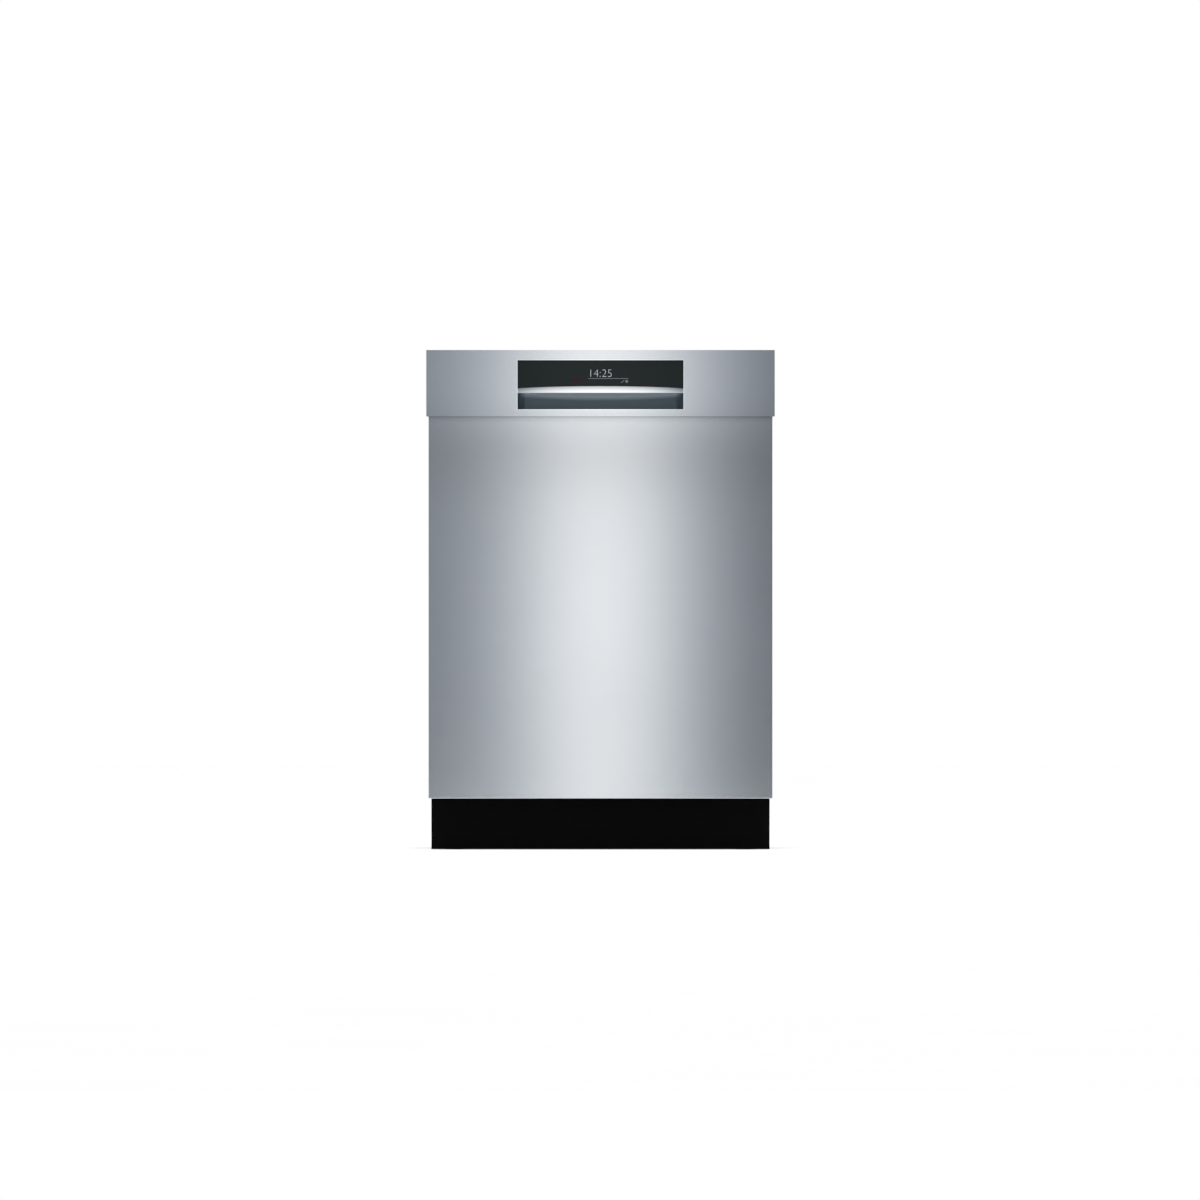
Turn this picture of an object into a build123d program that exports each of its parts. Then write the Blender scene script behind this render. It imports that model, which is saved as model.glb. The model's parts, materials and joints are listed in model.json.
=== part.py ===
"""Built-in dishwasher: cabinet with tub and racks, and a drop-down door with a pocket grip console."""

import os

from build123d import *

os.makedirs("parts", exist_ok=True)

# Overall size of the appliance at its lowest setting
overall_width = 600.0
overall_height = 860.0
overall_depth = 603.0
front_y = -overall_depth / 2
rear_y = overall_depth / 2

# Sheets, fits and fasteners
sheet = 1.5
run_gap = 0.05
free_gap = 0.4
screw_radius = 2.0
screw_head_radius = 4.5
screw_head_height = 2.2

# Door and console
console_height = 114.0
console_proud = 6.0
panel_side_step = 4.0
edge_round = 1.0
liner_side_step = 2.0
door_bottom = 88.5
door_thickness = 65.5
panel_return = 35.0
panel_lip = 15.0
liner_overlap = 11.0
window_width = 287.8
window_height = 86.9
window_top_margin = 16.3
bezel_rim = 1.2
bezel_depth = 3.0
strip_height = 13.8
strip_depth = 11.0
strip_round = 7.0
strip_foot_round = 1.2
strip_arch = 3.6
pocket_height = 28.0
pocket_depth = 42.0
pocket_end_slant = 12.0
pocket_wall = 2.0
glass_recess = 1.0
glass_thickness = 3.0
module_depth = 26.0
module_side_gap = 2.0
module_foot_gap = 1.0
connector_half = 60.0
connector_depth = 8.0
connector_inset = 8.0
button_length = 24.0
button_width = 9.0
button_depth = 8.0
button_round = 0.8
button_flange = 3.0
button_flange_thickness = 2.0
button_places = {"power_button": -230.0, "program_button": 150.0, "start_button": 230.0}

# Felt pad in the door
pad_side_gap = 12.0
pad_rear_gap = 8.5
pad_foot_gap = 28.0
pad_top_gap = 11.0
pad_cut_gap = 3.0

# Door hinge
hinge_height = 112.0
hinge_inset = 32.0
pin_radius = 4.0
pin_end_gap = 0.3
arm_thickness = 3.6
arm_width = 24.0
arm_length = 220.0
bracket_thickness = 4.0
bracket_length = 122.0
liner_clear_above_hinge = 12.0

# Cabinet
cabinet_reveal = 6.0
cabinet_width = overall_width - 2 * cabinet_reveal
cabinet_front_gap = 6.0
frame_thickness = 2.0
toe_reveal = 8.5
toe_width = overall_width - 2 * toe_reveal
toe_height = 100.0
toe_recess = 86.5
toe_thickness = 2.0
toe_floor_gap = 0.5
base_side_step = 1.0
base_rear_gap = 2.0
base_bottom = 30.0
base_wall = 4.0
base_wall_top = 104.0
cover_drop = 10.5
rear_panel_lift = 8.0
screw_tail = 4.0
cover_height = overall_height - cover_drop

# Tub, set in the cabinet with its blanket and the air round it
tub_floor_height = 146.0
tub_wall = 2.0
tub_floor_thickness = 4.0
blanket_thickness = 15.0
blanket_side_air = 3.5
blanket_top_air = 15.0
rear_air = 30.0
tub_inner_width = cabinet_width - 2 * (sheet + blanket_side_air + blanket_thickness + tub_wall)
tub_ceiling_height = cover_height - sheet - blanket_top_air - blanket_thickness - tub_wall
tub_rear = rear_y - sheet - rear_air - tub_wall
frame_skirt = 16.0
blanket_front_gap = 9.0
blanket_rear_gap = 6.0
gasket_width = 11.0
gasket_set_back = 1.0
gasket_round = 1.2
seal_gap = 0.3

# Water system
sump_y = 20.0
sump_radius = 100.0
sump_wall = 3.0
sump_bottom = 60.0
sump_flange = 18.0
sump_flange_thickness = 1.5
sump_hole_gap = 1.0
pump_port_radius = 20.0
drain_port_radius = 14.0
port_wall = 4.0
pump_height = 90.0
pump_radius = 48.0
volute_length = 35.0
motor_radius = 42.0
motor_length = 80.0
volute_wall = 5.0
pump_foot_half = 30.0
pump_foot_inset = 15.0
pump_foot_bite = 6.0
impeller_radius = 38.0
chamber_gap = 4.0
disc_set_back = 20.0
disc_thickness = 4.0
vane_count = 6
vane_start = 12.16
vane_rim_gap = 3.04
vane_thickness = 3.0
vane_depth = 9.0
shaft_radius = 4.0
shaft_reach = 55.0
shaft_bore_depth = 60.0
filter_radius = 38.0
filter_offset = 54.0
filter_wall = 2.0
filter_foot_gap = 6.0
filter_rim = 3.0
filter_bar_half = 3.0
filter_bar_drop = 4.0
filter_bar_rise = 6.0
screen_overlap = 8.0
drain_pump_radius = 30.0
drain_pump_length = 70.0
post_radius = 12.0
lower_arm_radius = 215.0
upper_arm_radius = 200.0
arm_height = 12.0
arm_blade_width = 42.0
hub_wall = 6.0
hub_rise = 2.0
axle_rise = 3.0
riser_half = 20.0
riser_depth = 18.0
riser_rise = 14.0
nozzle_radius = 5.0
nozzle_length = 8.0
lower_arm_bottom = 160.0

# Racks
wire = 4.0
frame_back = front_y + console_proud + door_thickness + cabinet_front_gap
rack_rear_gap = 33.0
lower_rack_side_gap = 32.0
lower_rack_front_gap = 12.0
lower_rack_width = tub_inner_width - 2 * lower_rack_side_gap
lower_rack_front = frame_back + lower_rack_front_gap
lower_rack_rear = tub_rear - rack_rear_gap
lower_rack_floor = 182.0
lower_rack_top = 320.0
wheel_radius = 16.0
wheel_width = 12.0
wheel_plate_thickness = 4.0
wheel_plate_half = 9.0
wheel_plate_rise = 30.0
wheel_pin_end = 1.0
front_wheel_inset = 102.0
rear_wheel_inset = 85.0
front_wheel_y = lower_rack_front + front_wheel_inset
rear_wheel_y = lower_rack_rear - rear_wheel_inset
tine_height = 75.0
tine_row_x = 60.0
tine_row_length = 300.0
tine_count = 10
tine_thinning = 0.2
upper_rack_side_gap = 37.0
upper_rack_front_gap = 19.0
upper_rack_drop = 346.0
upper_rack_depth = 130.0
upper_rack_width = tub_inner_width - 2 * upper_rack_side_gap
upper_rack_front = frame_back + upper_rack_front_gap
upper_rack_floor = tub_ceiling_height - upper_rack_drop
upper_rack_top = upper_rack_floor + upper_rack_depth
tray_side_gap = 27.0
tray_front_gap = 24.0
tray_drop = 116.0
tray_depth = 42.0
tray_width = tub_inner_width - 2 * tray_side_gap
tray_front = frame_back + tray_front_gap
tray_floor = tub_ceiling_height - tray_drop
tray_top = tray_floor + tray_depth
rail_height = 20.0
rail_length = 450.0
rail_thickness = 8.0
rail_front_gap = 9.0
tray_rail_gap = 2.0
tray_rail_height = 14.0
tray_groove = 5.0
tray_tongue = 4.5
duct_half = 12.0
duct_front_reach = 16.0
duct_drop = 5.5
upper_axle_drop = 4.0
retainer_step = 4.0
retainer_low = 5.5
retainer_high = 2.5
rail_z = upper_rack_floor + 70.0
tray_rail_z = tray_floor + 12.0
side_bar_front_inset = 55.0
side_bar_rear_inset = 85.0

# Dispenser in the door
dispenser_left = -70.0
dispenser_right = 100.0
dispenser_bottom = 340.0
dispenser_top = 460.0
dispenser_depth = 38.0
dispenser_flange = 5.0
dispenser_flange_thickness = 3.0
cup_left = -62.0
cup_right = 22.0
cup_bottom = 352.0
cup_top = 448.0
cup_wall = 3.0
lid_overlap = 4.0
lid_pin_short = 0.5
ear_rise = 2.5
ear_below = 4.0
ear_above = 3.0
cap_radius = 18.0
cap_thickness = 3.0
cap_bore_spare = 2.0
grip_bar_inset = 3.0
grip_bar_half = 3.0
grip_bar_height = 4.0
cap_x = 64.0

# Levelling feet
foot_side_inset = 40.5
foot_end_inset = 33.0
foot_pad_radius = 18.0
foot_pad_height = 8.0
foot_stem_radius = 5.0
foot_stem_top = 70.0
foot_bore_spare = 30.0
post_size = 36.0

# Derived places
console_bottom = overall_height - console_height
panel_front = front_y + console_proud
panel_half = overall_width / 2 - panel_side_step
liner_back = panel_front + door_thickness
liner_front = liner_back - sheet
hinge_y = liner_back - hinge_inset
window_top = overall_height - window_top_margin
window_bottom = window_top - window_height
window_half = window_width / 2
glass_half = window_half - bezel_rim
pocket_bottom = window_bottom + bezel_rim
strip_bottom = pocket_bottom + pocket_height
strip_top = strip_bottom + strip_height
glass_top = window_top - bezel_rim
cabinet_half = cabinet_width / 2
shell_inner = cabinet_half - sheet
frame_front = frame_back - frame_thickness
toe_front = front_y + toe_recess
base_front = toe_front + toe_thickness
base_half = toe_width / 2 - base_side_step
base_rear = rear_y - sheet - base_rear_gap
foot_x = base_half - foot_side_inset
front_foot_y = base_front + foot_end_inset
rear_foot_y = base_rear - foot_end_inset
cover_bottom = cover_height - sheet
tub_half = tub_inner_width / 2
tub_outer_half = tub_half + tub_wall
tub_underside = tub_floor_height - tub_floor_thickness
frame_bottom = tub_underside - frame_skirt
liner_bottom = hinge_height + liner_clear_above_hinge
liner_half = panel_half - liner_side_step


def block(x0, x1, y0, y1, z0, z1, mode=Mode.ADD):
    """A rectangular body between two corners."""
    with Locations(((x0 + x1) / 2, (y0 + y1) / 2, (z0 + z1) / 2)):
        Box(x1 - x0, y1 - y0, z1 - z0, mode=mode)


def upright(x, y, radius, z0, z1, mode=Mode.ADD):
    """A round body standing along Z."""
    with Locations((x, y, (z0 + z1) / 2)):
        Cylinder(radius, z1 - z0, mode=mode)


def lengthwise(x, z, radius, y0, y1, mode=Mode.ADD):
    """A round body lying along Y."""
    with Locations((x, (y0 + y1) / 2, z)):
        Cylinder(radius, y1 - y0, rotation=(90, 0, 0), mode=mode)


def crosswise(y, z, radius, x0, x1, mode=Mode.ADD):
    """A round body lying along X."""
    with Locations(((x0 + x1) / 2, y, z)):
        Cylinder(radius, x1 - x0, rotation=(0, 90, 0), mode=mode)


def save(builder, name):
    """Name a finished piece and write it."""
    builder.part.label = name
    export_step(builder.part, f"parts/{name}.step")


# Console fascia: a folded steel pan with the window and the button holes
with BuildPart() as console_fascia:
    half = overall_width / 2
    block(-half, half, front_y, liner_back, console_bottom, overall_height)
    front_corners = console_fascia.edges().filter_by(Axis.Z).group_by(Axis.Y)[0]
    fillet(front_corners, edge_round)
    inside = half - sheet
    block(-inside, inside, front_y + sheet, liner_back, console_bottom + sheet, overall_height - sheet,
          Mode.SUBTRACT)
    block(-inside, inside, panel_front + sheet, liner_back, console_bottom, console_bottom + sheet,
          Mode.SUBTRACT)
    block(-window_half, window_half, front_y, front_y + sheet, window_bottom, window_top, Mode.SUBTRACT)
    button_y = (front_y + liner_back) / 2
    for place in button_places.values():
        block(place - button_length / 2 - free_gap, place + button_length / 2 + free_gap,
              button_y - button_width / 2 - free_gap, button_y + button_width / 2 + free_gap,
              overall_height - sheet, overall_height, Mode.SUBTRACT)
save(console_fascia, "console_fascia")

# Window bezel: the thin bright frame that lines the window
with BuildPart() as window_bezel:
    block(-window_half, window_half, front_y, front_y + bezel_depth, window_bottom, window_top)
    block(-glass_half, glass_half, front_y, front_y + bezel_depth, pocket_bottom, glass_top, Mode.SUBTRACT)
save(window_bezel, "window_bezel")

# Display glass: its lower edge follows the arched top of the grip strip
glass_front = front_y + glass_recess
strip_end_top = strip_top - strip_arch
with BuildPart() as display_glass:
    with BuildSketch(Plane.XZ.offset(-glass_front)):
        with BuildLine():
            ThreePointArc((-glass_half, strip_end_top), (0, strip_top), (glass_half, strip_end_top))
            Polyline((glass_half, strip_end_top), (glass_half, glass_top), (-glass_half, glass_top),
                     (-glass_half, strip_end_top))
        make_face()
    extrude(amount=-glass_thickness)
save(display_glass, "display_glass")

# Grip strip: the rounded lip that the fingers pull
with BuildPart() as grip_strip:
    with BuildSketch(Plane.XZ.offset(-glass_front)):
        with BuildLine():
            ThreePointArc((-glass_half, strip_end_top), (0, strip_top), (glass_half, strip_end_top))
            Polyline((glass_half, strip_end_top), (glass_half, strip_bottom), (-glass_half, strip_bottom),
                     (-glass_half, strip_end_top))
        make_face()
    extrude(amount=-strip_depth)
    arch_edge = grip_strip.faces().sort_by(Axis.Y)[0].edges().sort_by(Axis.Z)[-1]
    fillet(arch_edge, strip_round)
    fillet(grip_strip.edges().filter_by(Axis.X).group_by(Axis.Z)[0], strip_foot_round)
save(grip_strip, "grip_strip")

# Pocket liner: the scoop behind the strip, with slanted ends
pocket_front = front_y + bezel_depth
pocket_rear = front_y + pocket_depth
strip_back = front_y + glass_recess + strip_depth
with BuildPart() as pocket_liner:
    block(-window_half, window_half, pocket_front, pocket_rear + pocket_wall, window_bottom, strip_top)
    with BuildSketch(Plane.XY.offset(pocket_bottom)):
        with BuildLine():
            Polyline((-glass_half, pocket_front), (glass_half, pocket_front),
                     (glass_half - pocket_end_slant, pocket_rear),
                     (-glass_half + pocket_end_slant, pocket_rear), close=True)
        make_face()
    extrude(amount=strip_top - pocket_wall - pocket_bottom, mode=Mode.SUBTRACT)
    block(-glass_half, glass_half, pocket_front, strip_back, strip_bottom, strip_top, Mode.SUBTRACT)
save(pocket_liner, "pocket_liner")

# Control module: the box of electronics behind the glass
with BuildPart() as control_module:
    module_front = front_y + glass_recess + glass_thickness
    module_half = glass_half - module_side_gap
    module_back = module_front + module_depth
    block(-module_half, module_half, module_front, module_back, strip_top + module_foot_gap, glass_top)
    block(-connector_half, connector_half, module_back, module_back + connector_depth,
          strip_top + connector_inset, glass_top - connector_inset)
save(control_module, "control_module")

# Push buttons on the top edge, each with a hidden flange under the sheet
for button_name, place in button_places.items():
    with BuildPart() as push_button:
        block(place - button_length / 2, place + button_length / 2, button_y - button_width / 2,
              button_y + button_width / 2, overall_height - button_depth, overall_height - free_gap)
        cap_edges = push_button.edges().group_by(Axis.Z)[-1]
        fillet(cap_edges, button_round)
        flange_top = overall_height - sheet - seal_gap
        flange_length = button_length / 2 + button_flange
        flange_width = button_width / 2 + button_flange
        block(place - flange_length, place + flange_length, button_y - flange_width, button_y + flange_width,
              flange_top - button_flange_thickness, flange_top)
    save(push_button, button_name)

# Door outer panel: a steel pan below the console
with BuildPart() as door_outer_panel:
    block(-panel_half, panel_half, panel_front, panel_front + panel_return, door_bottom, console_bottom)
    panel_corners = door_outer_panel.edges().filter_by(Axis.Z).group_by(Axis.Y)[0]
    bottom_edge = door_outer_panel.edges().filter_by(Axis.X).group_by(Axis.Z)[0].sort_by(Axis.Y)[0]
    fillet([*panel_corners, bottom_edge], edge_round)
    inside = panel_half - sheet
    block(-inside, inside, panel_front + sheet, panel_front + panel_return, door_bottom + sheet,
          console_bottom, Mode.SUBTRACT)
    block(-inside, inside, panel_front + panel_lip, panel_front + panel_return, door_bottom,
          door_bottom + sheet, Mode.SUBTRACT)
save(door_outer_panel, "door_outer_panel")

# Latch line on the door's top edge
strike_half = 10.0
strike_thickness = 2.0
strike_reach = 32.0
slot_half = strike_half + 4.0
slot_margin = 2.0
slot_bottom = cover_height - 2.0
slot_top = cover_height + strike_thickness + 2.0
latch_half = 45.0
latch_depth = 43.5
latch_bottom = slot_bottom - 4.5
latch_top = slot_top + 3.5
bolt_half = 6.0
bolt_y = liner_back - 16.0
bolt_width = 8.0
bolt_top = slot_bottom + 0.9
bolt_foot_gap = 0.5
bolt_chamfer = 0.6

# Rows of door screws beside the gasket
door_screw_x = panel_half - 6.0
door_screw_heights = (200.0, 400.0, 600.0, 780.0)
door_screw_length = 12.0

# Door inner liner: the steel pan that closes the tub
with BuildPart() as door_inner_liner:
    console_half = overall_width / 2 - sheet
    block(-liner_half, liner_half, liner_front, liner_back, liner_bottom, console_bottom)
    block(-console_half, console_half, liner_front, liner_back, console_bottom, overall_height - sheet)
    for side in (-1, 1):
        edges_x = sorted((side * liner_half, side * (liner_half - sheet)))
        block(*edges_x, panel_front + panel_return - liner_overlap, liner_front, liner_bottom, console_bottom)
    block(dispenser_left, dispenser_right, liner_front, liner_back, dispenser_bottom, dispenser_top,
          Mode.SUBTRACT)
    block(-slot_half - slot_margin, slot_half + slot_margin, liner_front, liner_back, slot_bottom, slot_top,
          Mode.SUBTRACT)
    for side in (-1, 1):
        for screw_z in door_screw_heights:
            lengthwise(side * door_screw_x, screw_z, screw_radius + run_gap, liner_front, liner_back,
                       Mode.SUBTRACT)
save(door_inner_liner, "door_inner_liner")

# Door screws
with BuildPart() as door_screws:
    for side in (-1, 1):
        for screw_z in door_screw_heights:
            lengthwise(side * door_screw_x, screw_z, screw_radius, liner_back - door_screw_length, liner_back)
            lengthwise(side * door_screw_x, screw_z, screw_head_radius, liner_back,
                       liner_back + screw_head_height)
save(door_screws, "door_screws")

# Door insulation: the felt pad inside the door, cut out round the dispenser
with BuildPart() as door_insulation:
    pad_half = panel_half - pad_side_gap
    block(-pad_half, pad_half, panel_front + sheet, liner_front - pad_rear_gap, hinge_height + pad_foot_gap,
          console_bottom - pad_top_gap)
    block(dispenser_left - pad_cut_gap, dispenser_right + pad_cut_gap,
          liner_back - dispenser_depth - pad_cut_gap, liner_front, dispenser_bottom - pad_cut_gap,
          dispenser_top + pad_cut_gap, Mode.SUBTRACT)
save(door_insulation, "door_insulation")

# Hinge arms: flat bars that carry the door on its pins
arm_outer = liner_half - sheet
arm_inner = arm_outer - arm_thickness
with BuildPart() as hinge_arms:
    for side in (-1, 1):
        start = arm_inner if side > 0 else -arm_outer
        with BuildSketch(Plane.YZ.offset(start)):
            with Locations((hinge_y, hinge_height + arm_length / 2)):
                Rectangle(arm_width, arm_length)
            with Locations((hinge_y, hinge_height)):
                Circle(arm_width / 2)
                Circle(pin_radius + run_gap, mode=Mode.SUBTRACT)
        extrude(amount=arm_thickness)
save(hinge_arms, "hinge_arms")

# Latch housing with its slot, and the sprung bolt under the slot
with BuildPart() as latch_housing:
    block(-latch_half, latch_half, liner_front - latch_depth, liner_front, latch_bottom, latch_top)
    block(-slot_half, slot_half, liner_front - strike_reach, liner_front, slot_bottom, slot_top,
          Mode.SUBTRACT)
    block(-bolt_half - free_gap, bolt_half + free_gap, bolt_y - bolt_width / 2 - free_gap,
          bolt_y + bolt_width / 2 + free_gap, latch_bottom, slot_bottom, Mode.SUBTRACT)
save(latch_housing, "latch_housing")

with BuildPart() as latch_bolt:
    block(-bolt_half, bolt_half, bolt_y - bolt_width / 2, bolt_y + bolt_width / 2,
          latch_bottom + bolt_foot_gap, bolt_top)
    bolt_edges = latch_bolt.edges().filter_by(Axis.X).group_by(Axis.Z)[-1]
    chamfer(bolt_edges, bolt_chamfer)
save(latch_bolt, "latch_bolt")

# Dispenser housing: flange, detergent cup, cap bore and the two ears of the lid
flange_face = liner_back + dispenser_flange_thickness
lid_axis_y = flange_face + 2.0
lid_axis_z = cup_bottom - 7.0
lid_pin_radius = 1.1
lid_left = cup_left - 0.5
lid_right = cup_right + 0.5
ear_width = 4.8
ear_gap = 0.7
cap_z = (dispenser_bottom + dispenser_top) / 2
cap_stem_radius = 8.0
cap_stem_length = 16.0
with BuildPart() as dispenser_housing:
    block(dispenser_left, dispenser_right, liner_back - dispenser_depth, liner_back, dispenser_bottom,
          dispenser_top)
    block(dispenser_left - dispenser_flange, dispenser_right + dispenser_flange, liner_back, flange_face,
          dispenser_bottom - dispenser_flange, dispenser_top + dispenser_flange)
    block(cup_left, cup_right, liner_back - dispenser_depth + cup_wall, flange_face, cup_bottom, cup_top,
          Mode.SUBTRACT)
    lengthwise(cap_x, cap_z, cap_stem_radius + run_gap, flange_face - cap_stem_length - cap_bore_spare,
               flange_face, Mode.SUBTRACT)
    for ear_x in (lid_left - ear_gap - ear_width, lid_right + ear_gap):
        block(ear_x, ear_x + ear_width, flange_face, lid_axis_y + ear_rise, lid_axis_z - ear_below,
              lid_axis_z + ear_above)
        crosswise(lid_axis_y, lid_axis_z, lid_pin_radius + run_gap, ear_x, ear_x + ear_width, Mode.SUBTRACT)
save(dispenser_housing, "dispenser_housing")

# Dispenser lid: a flap on two pins along its lower edge
lid_half_thickness = 1.6
with BuildPart() as dispenser_lid:
    block(lid_left, lid_right, lid_axis_y - lid_half_thickness, lid_axis_y + lid_half_thickness, lid_axis_z,
          cup_top + lid_overlap)
    crosswise(lid_axis_y, lid_axis_z, lid_half_thickness, lid_left, lid_right)
    crosswise(lid_axis_y, lid_axis_z, lid_pin_radius, lid_left - ear_gap - ear_width + lid_pin_short,
              lid_right + ear_gap + ear_width - lid_pin_short)
save(dispenser_lid, "dispenser_lid")

# Rinse-aid cap: a quarter-turn cap with a grip bar
with BuildPart() as rinse_aid_cap:
    cap_back = flange_face + seal_gap
    cap_face = cap_back + cap_thickness
    lengthwise(cap_x, cap_z, cap_radius, cap_back, cap_face)
    lengthwise(cap_x, cap_z, cap_stem_radius, cap_back - cap_stem_length, cap_back)
    bar_half = cap_radius - grip_bar_inset
    block(cap_x - bar_half, cap_x + bar_half, cap_face, cap_face + grip_bar_height, cap_z - grip_bar_half,
          cap_z + grip_bar_half)
save(rinse_aid_cap, "rinse_aid_cap")

# Hinge brackets: side plates on the base with a riveted pin each
bracket_outer = arm_inner - free_gap
bracket_inner = bracket_outer - bracket_thickness
bracket_rear = hinge_y + bracket_length
bracket_front = base_front + base_wall + 4.0
bracket_bottom = base_wall_top - 44.0
tab_half = 9.0
with BuildPart() as hinge_brackets:
    for side in (-1, 1):
        start = bracket_inner if side > 0 else -bracket_outer
        with BuildSketch(Plane.YZ.offset(start)):
            with BuildLine():
                Polyline((hinge_y, base_wall_top), (bracket_front, base_wall_top),
                         (bracket_front, bracket_bottom), (bracket_rear, bracket_bottom),
                         (bracket_rear, hinge_height + tab_half), (hinge_y, hinge_height + tab_half),
                         close=True)
            make_face()
            with Locations((hinge_y, (base_wall_top + hinge_height + tab_half) / 2)):
                Circle((hinge_height + tab_half - base_wall_top) / 2)
        extrude(amount=bracket_thickness)
        pin_ends = sorted((side * bracket_inner, side * (arm_outer - pin_end_gap)))
        crosswise(hinge_y, hinge_height, pin_radius, *pin_ends)
save(hinge_brackets, "hinge_brackets")

# Base tray: floor, low walls and four posts that carry the tub and take the feet
foot_places = [(side * foot_x, y) for y in (front_foot_y, rear_foot_y) for side in (-1, 1)]
base_floor = base_bottom + base_wall
drain_x = -160.0
spigot_radius = 11.0
spigot_length = 34.0
pipe_step = 2.0
collar_step = 3.0
collar_length = 4.0
valve_x = 80.0
valve_z = 60.0
inlet_radius = 13.2
inlet_length = 38.0
valve_half = 20.0
valve_length = 60.0
valve_rise = 24.0
valve_bore_radius = 7.0
valve_bore_floor = 4.0
valve_rear = rear_y - sheet - inlet_length
conduit_radius = 11.1
box_left = 130.0
box_right = 212.0
box_rear = base_rear - base_wall - 2.0
box_front = box_rear - 50.0
box_top = 82.0
box_wall = 2.0
drain_hole_gap = 9.0
inlet_hole_gap = 7.0
conduit_hole_gap = 4.0
box_x = (box_left + box_right) / 2
box_z = (base_floor + box_top) / 2
with BuildPart() as base_tray:
    block(-base_half, base_half, base_front, base_rear, base_bottom, base_wall_top)
    block(-base_half + base_wall, base_half - base_wall, base_front + base_wall, base_rear - base_wall,
          base_floor, base_wall_top, Mode.SUBTRACT)
    for side in (-1, 1):
        seat_x = sorted((side * bracket_inner, side * bracket_outer))
        block(*seat_x, bracket_front, bracket_rear, bracket_bottom, base_wall_top, Mode.SUBTRACT)
    for foot_place in foot_places:
        with Locations((*foot_place, (base_floor + tub_underside) / 2)):
            Box(post_size, post_size, tub_underside - base_floor)
        upright(*foot_place, foot_stem_radius + run_gap, base_bottom, foot_stem_top + foot_bore_spare,
                Mode.SUBTRACT)
    for hole_x, hole_z, hole_radius in ((drain_x, pump_height, spigot_radius + drain_hole_gap),
                                        (valve_x, valve_z, inlet_radius + inlet_hole_gap),
                                        (box_x, box_z, conduit_radius + conduit_hole_gap)):
        lengthwise(hole_x, hole_z, hole_radius, base_rear - base_wall, base_rear, Mode.SUBTRACT)
save(base_tray, "base_tray")

# Levelling feet: hexagonal pads on screwed stems
foot_groups = {"front_foot_left": foot_places[0:1], "front_foot_right": foot_places[1:2],
               "rear_feet": foot_places[2:4]}
for foot_name, places in foot_groups.items():
    with BuildPart() as levelling_foot:
        for foot_place in places:
            with BuildSketch(Plane.XY):
                with Locations(foot_place):
                    RegularPolygon(foot_pad_radius, 6)
            extrude(amount=foot_pad_height)
            upright(*foot_place, foot_stem_radius, foot_pad_height, foot_stem_top)
    save(levelling_foot, foot_name)

# Tub: a wrap of two sides and a ceiling, a rear wall and a floor with the sump hole
with BuildPart() as tub_wrap:
    block(-tub_outer_half, tub_outer_half, frame_back, tub_rear, tub_underside, tub_ceiling_height + tub_wall)
    block(-tub_half, tub_half, frame_back, tub_rear, tub_underside, tub_ceiling_height, Mode.SUBTRACT)
save(tub_wrap, "tub_wrap")

with BuildPart() as tub_rear_wall:
    block(-tub_outer_half, tub_outer_half, tub_rear, tub_rear + tub_wall, tub_underside,
          tub_ceiling_height + tub_wall)
save(tub_rear_wall, "tub_rear_wall")

with BuildPart() as tub_floor:
    block(-tub_half, tub_half, frame_back, tub_rear, tub_underside, tub_floor_height)
    upright(0, sump_y, sump_radius + sump_hole_gap, tub_underside, tub_floor_height, Mode.SUBTRACT)
save(tub_floor, "tub_floor")

# Front frame: the flat ring that joins the tub to the outer panels
with BuildPart() as front_frame:
    block(-shell_inner, shell_inner, frame_front, frame_back, frame_bottom, cover_bottom)
    block(-tub_half, tub_half, frame_front, frame_back, tub_floor_height, tub_ceiling_height, Mode.SUBTRACT)
save(front_frame, "front_frame")

# Tub gasket: a rubber bow round the sides and top of the opening
with BuildPart() as tub_gasket:
    gasket_inner = tub_half + gasket_set_back
    gasket_outer = gasket_inner + gasket_width
    gasket_top = tub_ceiling_height + gasket_set_back
    gasket_front = liner_back + seal_gap
    block(-gasket_outer, gasket_outer, gasket_front, frame_front, tub_floor_height, gasket_top + gasket_width)
    block(-gasket_inner, gasket_inner, gasket_front, frame_front, tub_floor_height, gasket_top, Mode.SUBTRACT)
    gasket_edges = tub_gasket.edges().filter_by(Axis.Z).group_by(Axis.Y)[0]
    fillet(gasket_edges, gasket_round)
save(tub_gasket, "tub_gasket")

# Sound blanket: a felt wrap over the sides and top of the tub
with BuildPart() as sound_blanket:
    blanket_half = tub_outer_half + blanket_thickness
    blanket_top = tub_ceiling_height + tub_wall
    blanket_y = (frame_back + blanket_front_gap, tub_rear - blanket_rear_gap)
    block(-blanket_half, blanket_half, *blanket_y, tub_underside, blanket_top + blanket_thickness)
    block(-tub_outer_half, tub_outer_half, *blanket_y, tub_underside, blanket_top, Mode.SUBTRACT)
save(sound_blanket, "sound_blanket")

# Outer panels
panel_bottom = door_bottom + 8.0
for side, panel_name in ((-1, "side_panel_left"), (1, "side_panel_right")):
    with BuildPart() as side_panel:
        panel_x = sorted((side * shell_inner, side * cabinet_half))
        block(*panel_x, frame_front, rear_y - sheet, panel_bottom, cover_bottom)
    save(side_panel, panel_name)

with BuildPart() as rear_panel:
    block(-cabinet_half, cabinet_half, rear_y - sheet, rear_y, base_wall_top + rear_panel_lift, cover_bottom)
save(rear_panel, "rear_panel")

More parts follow.
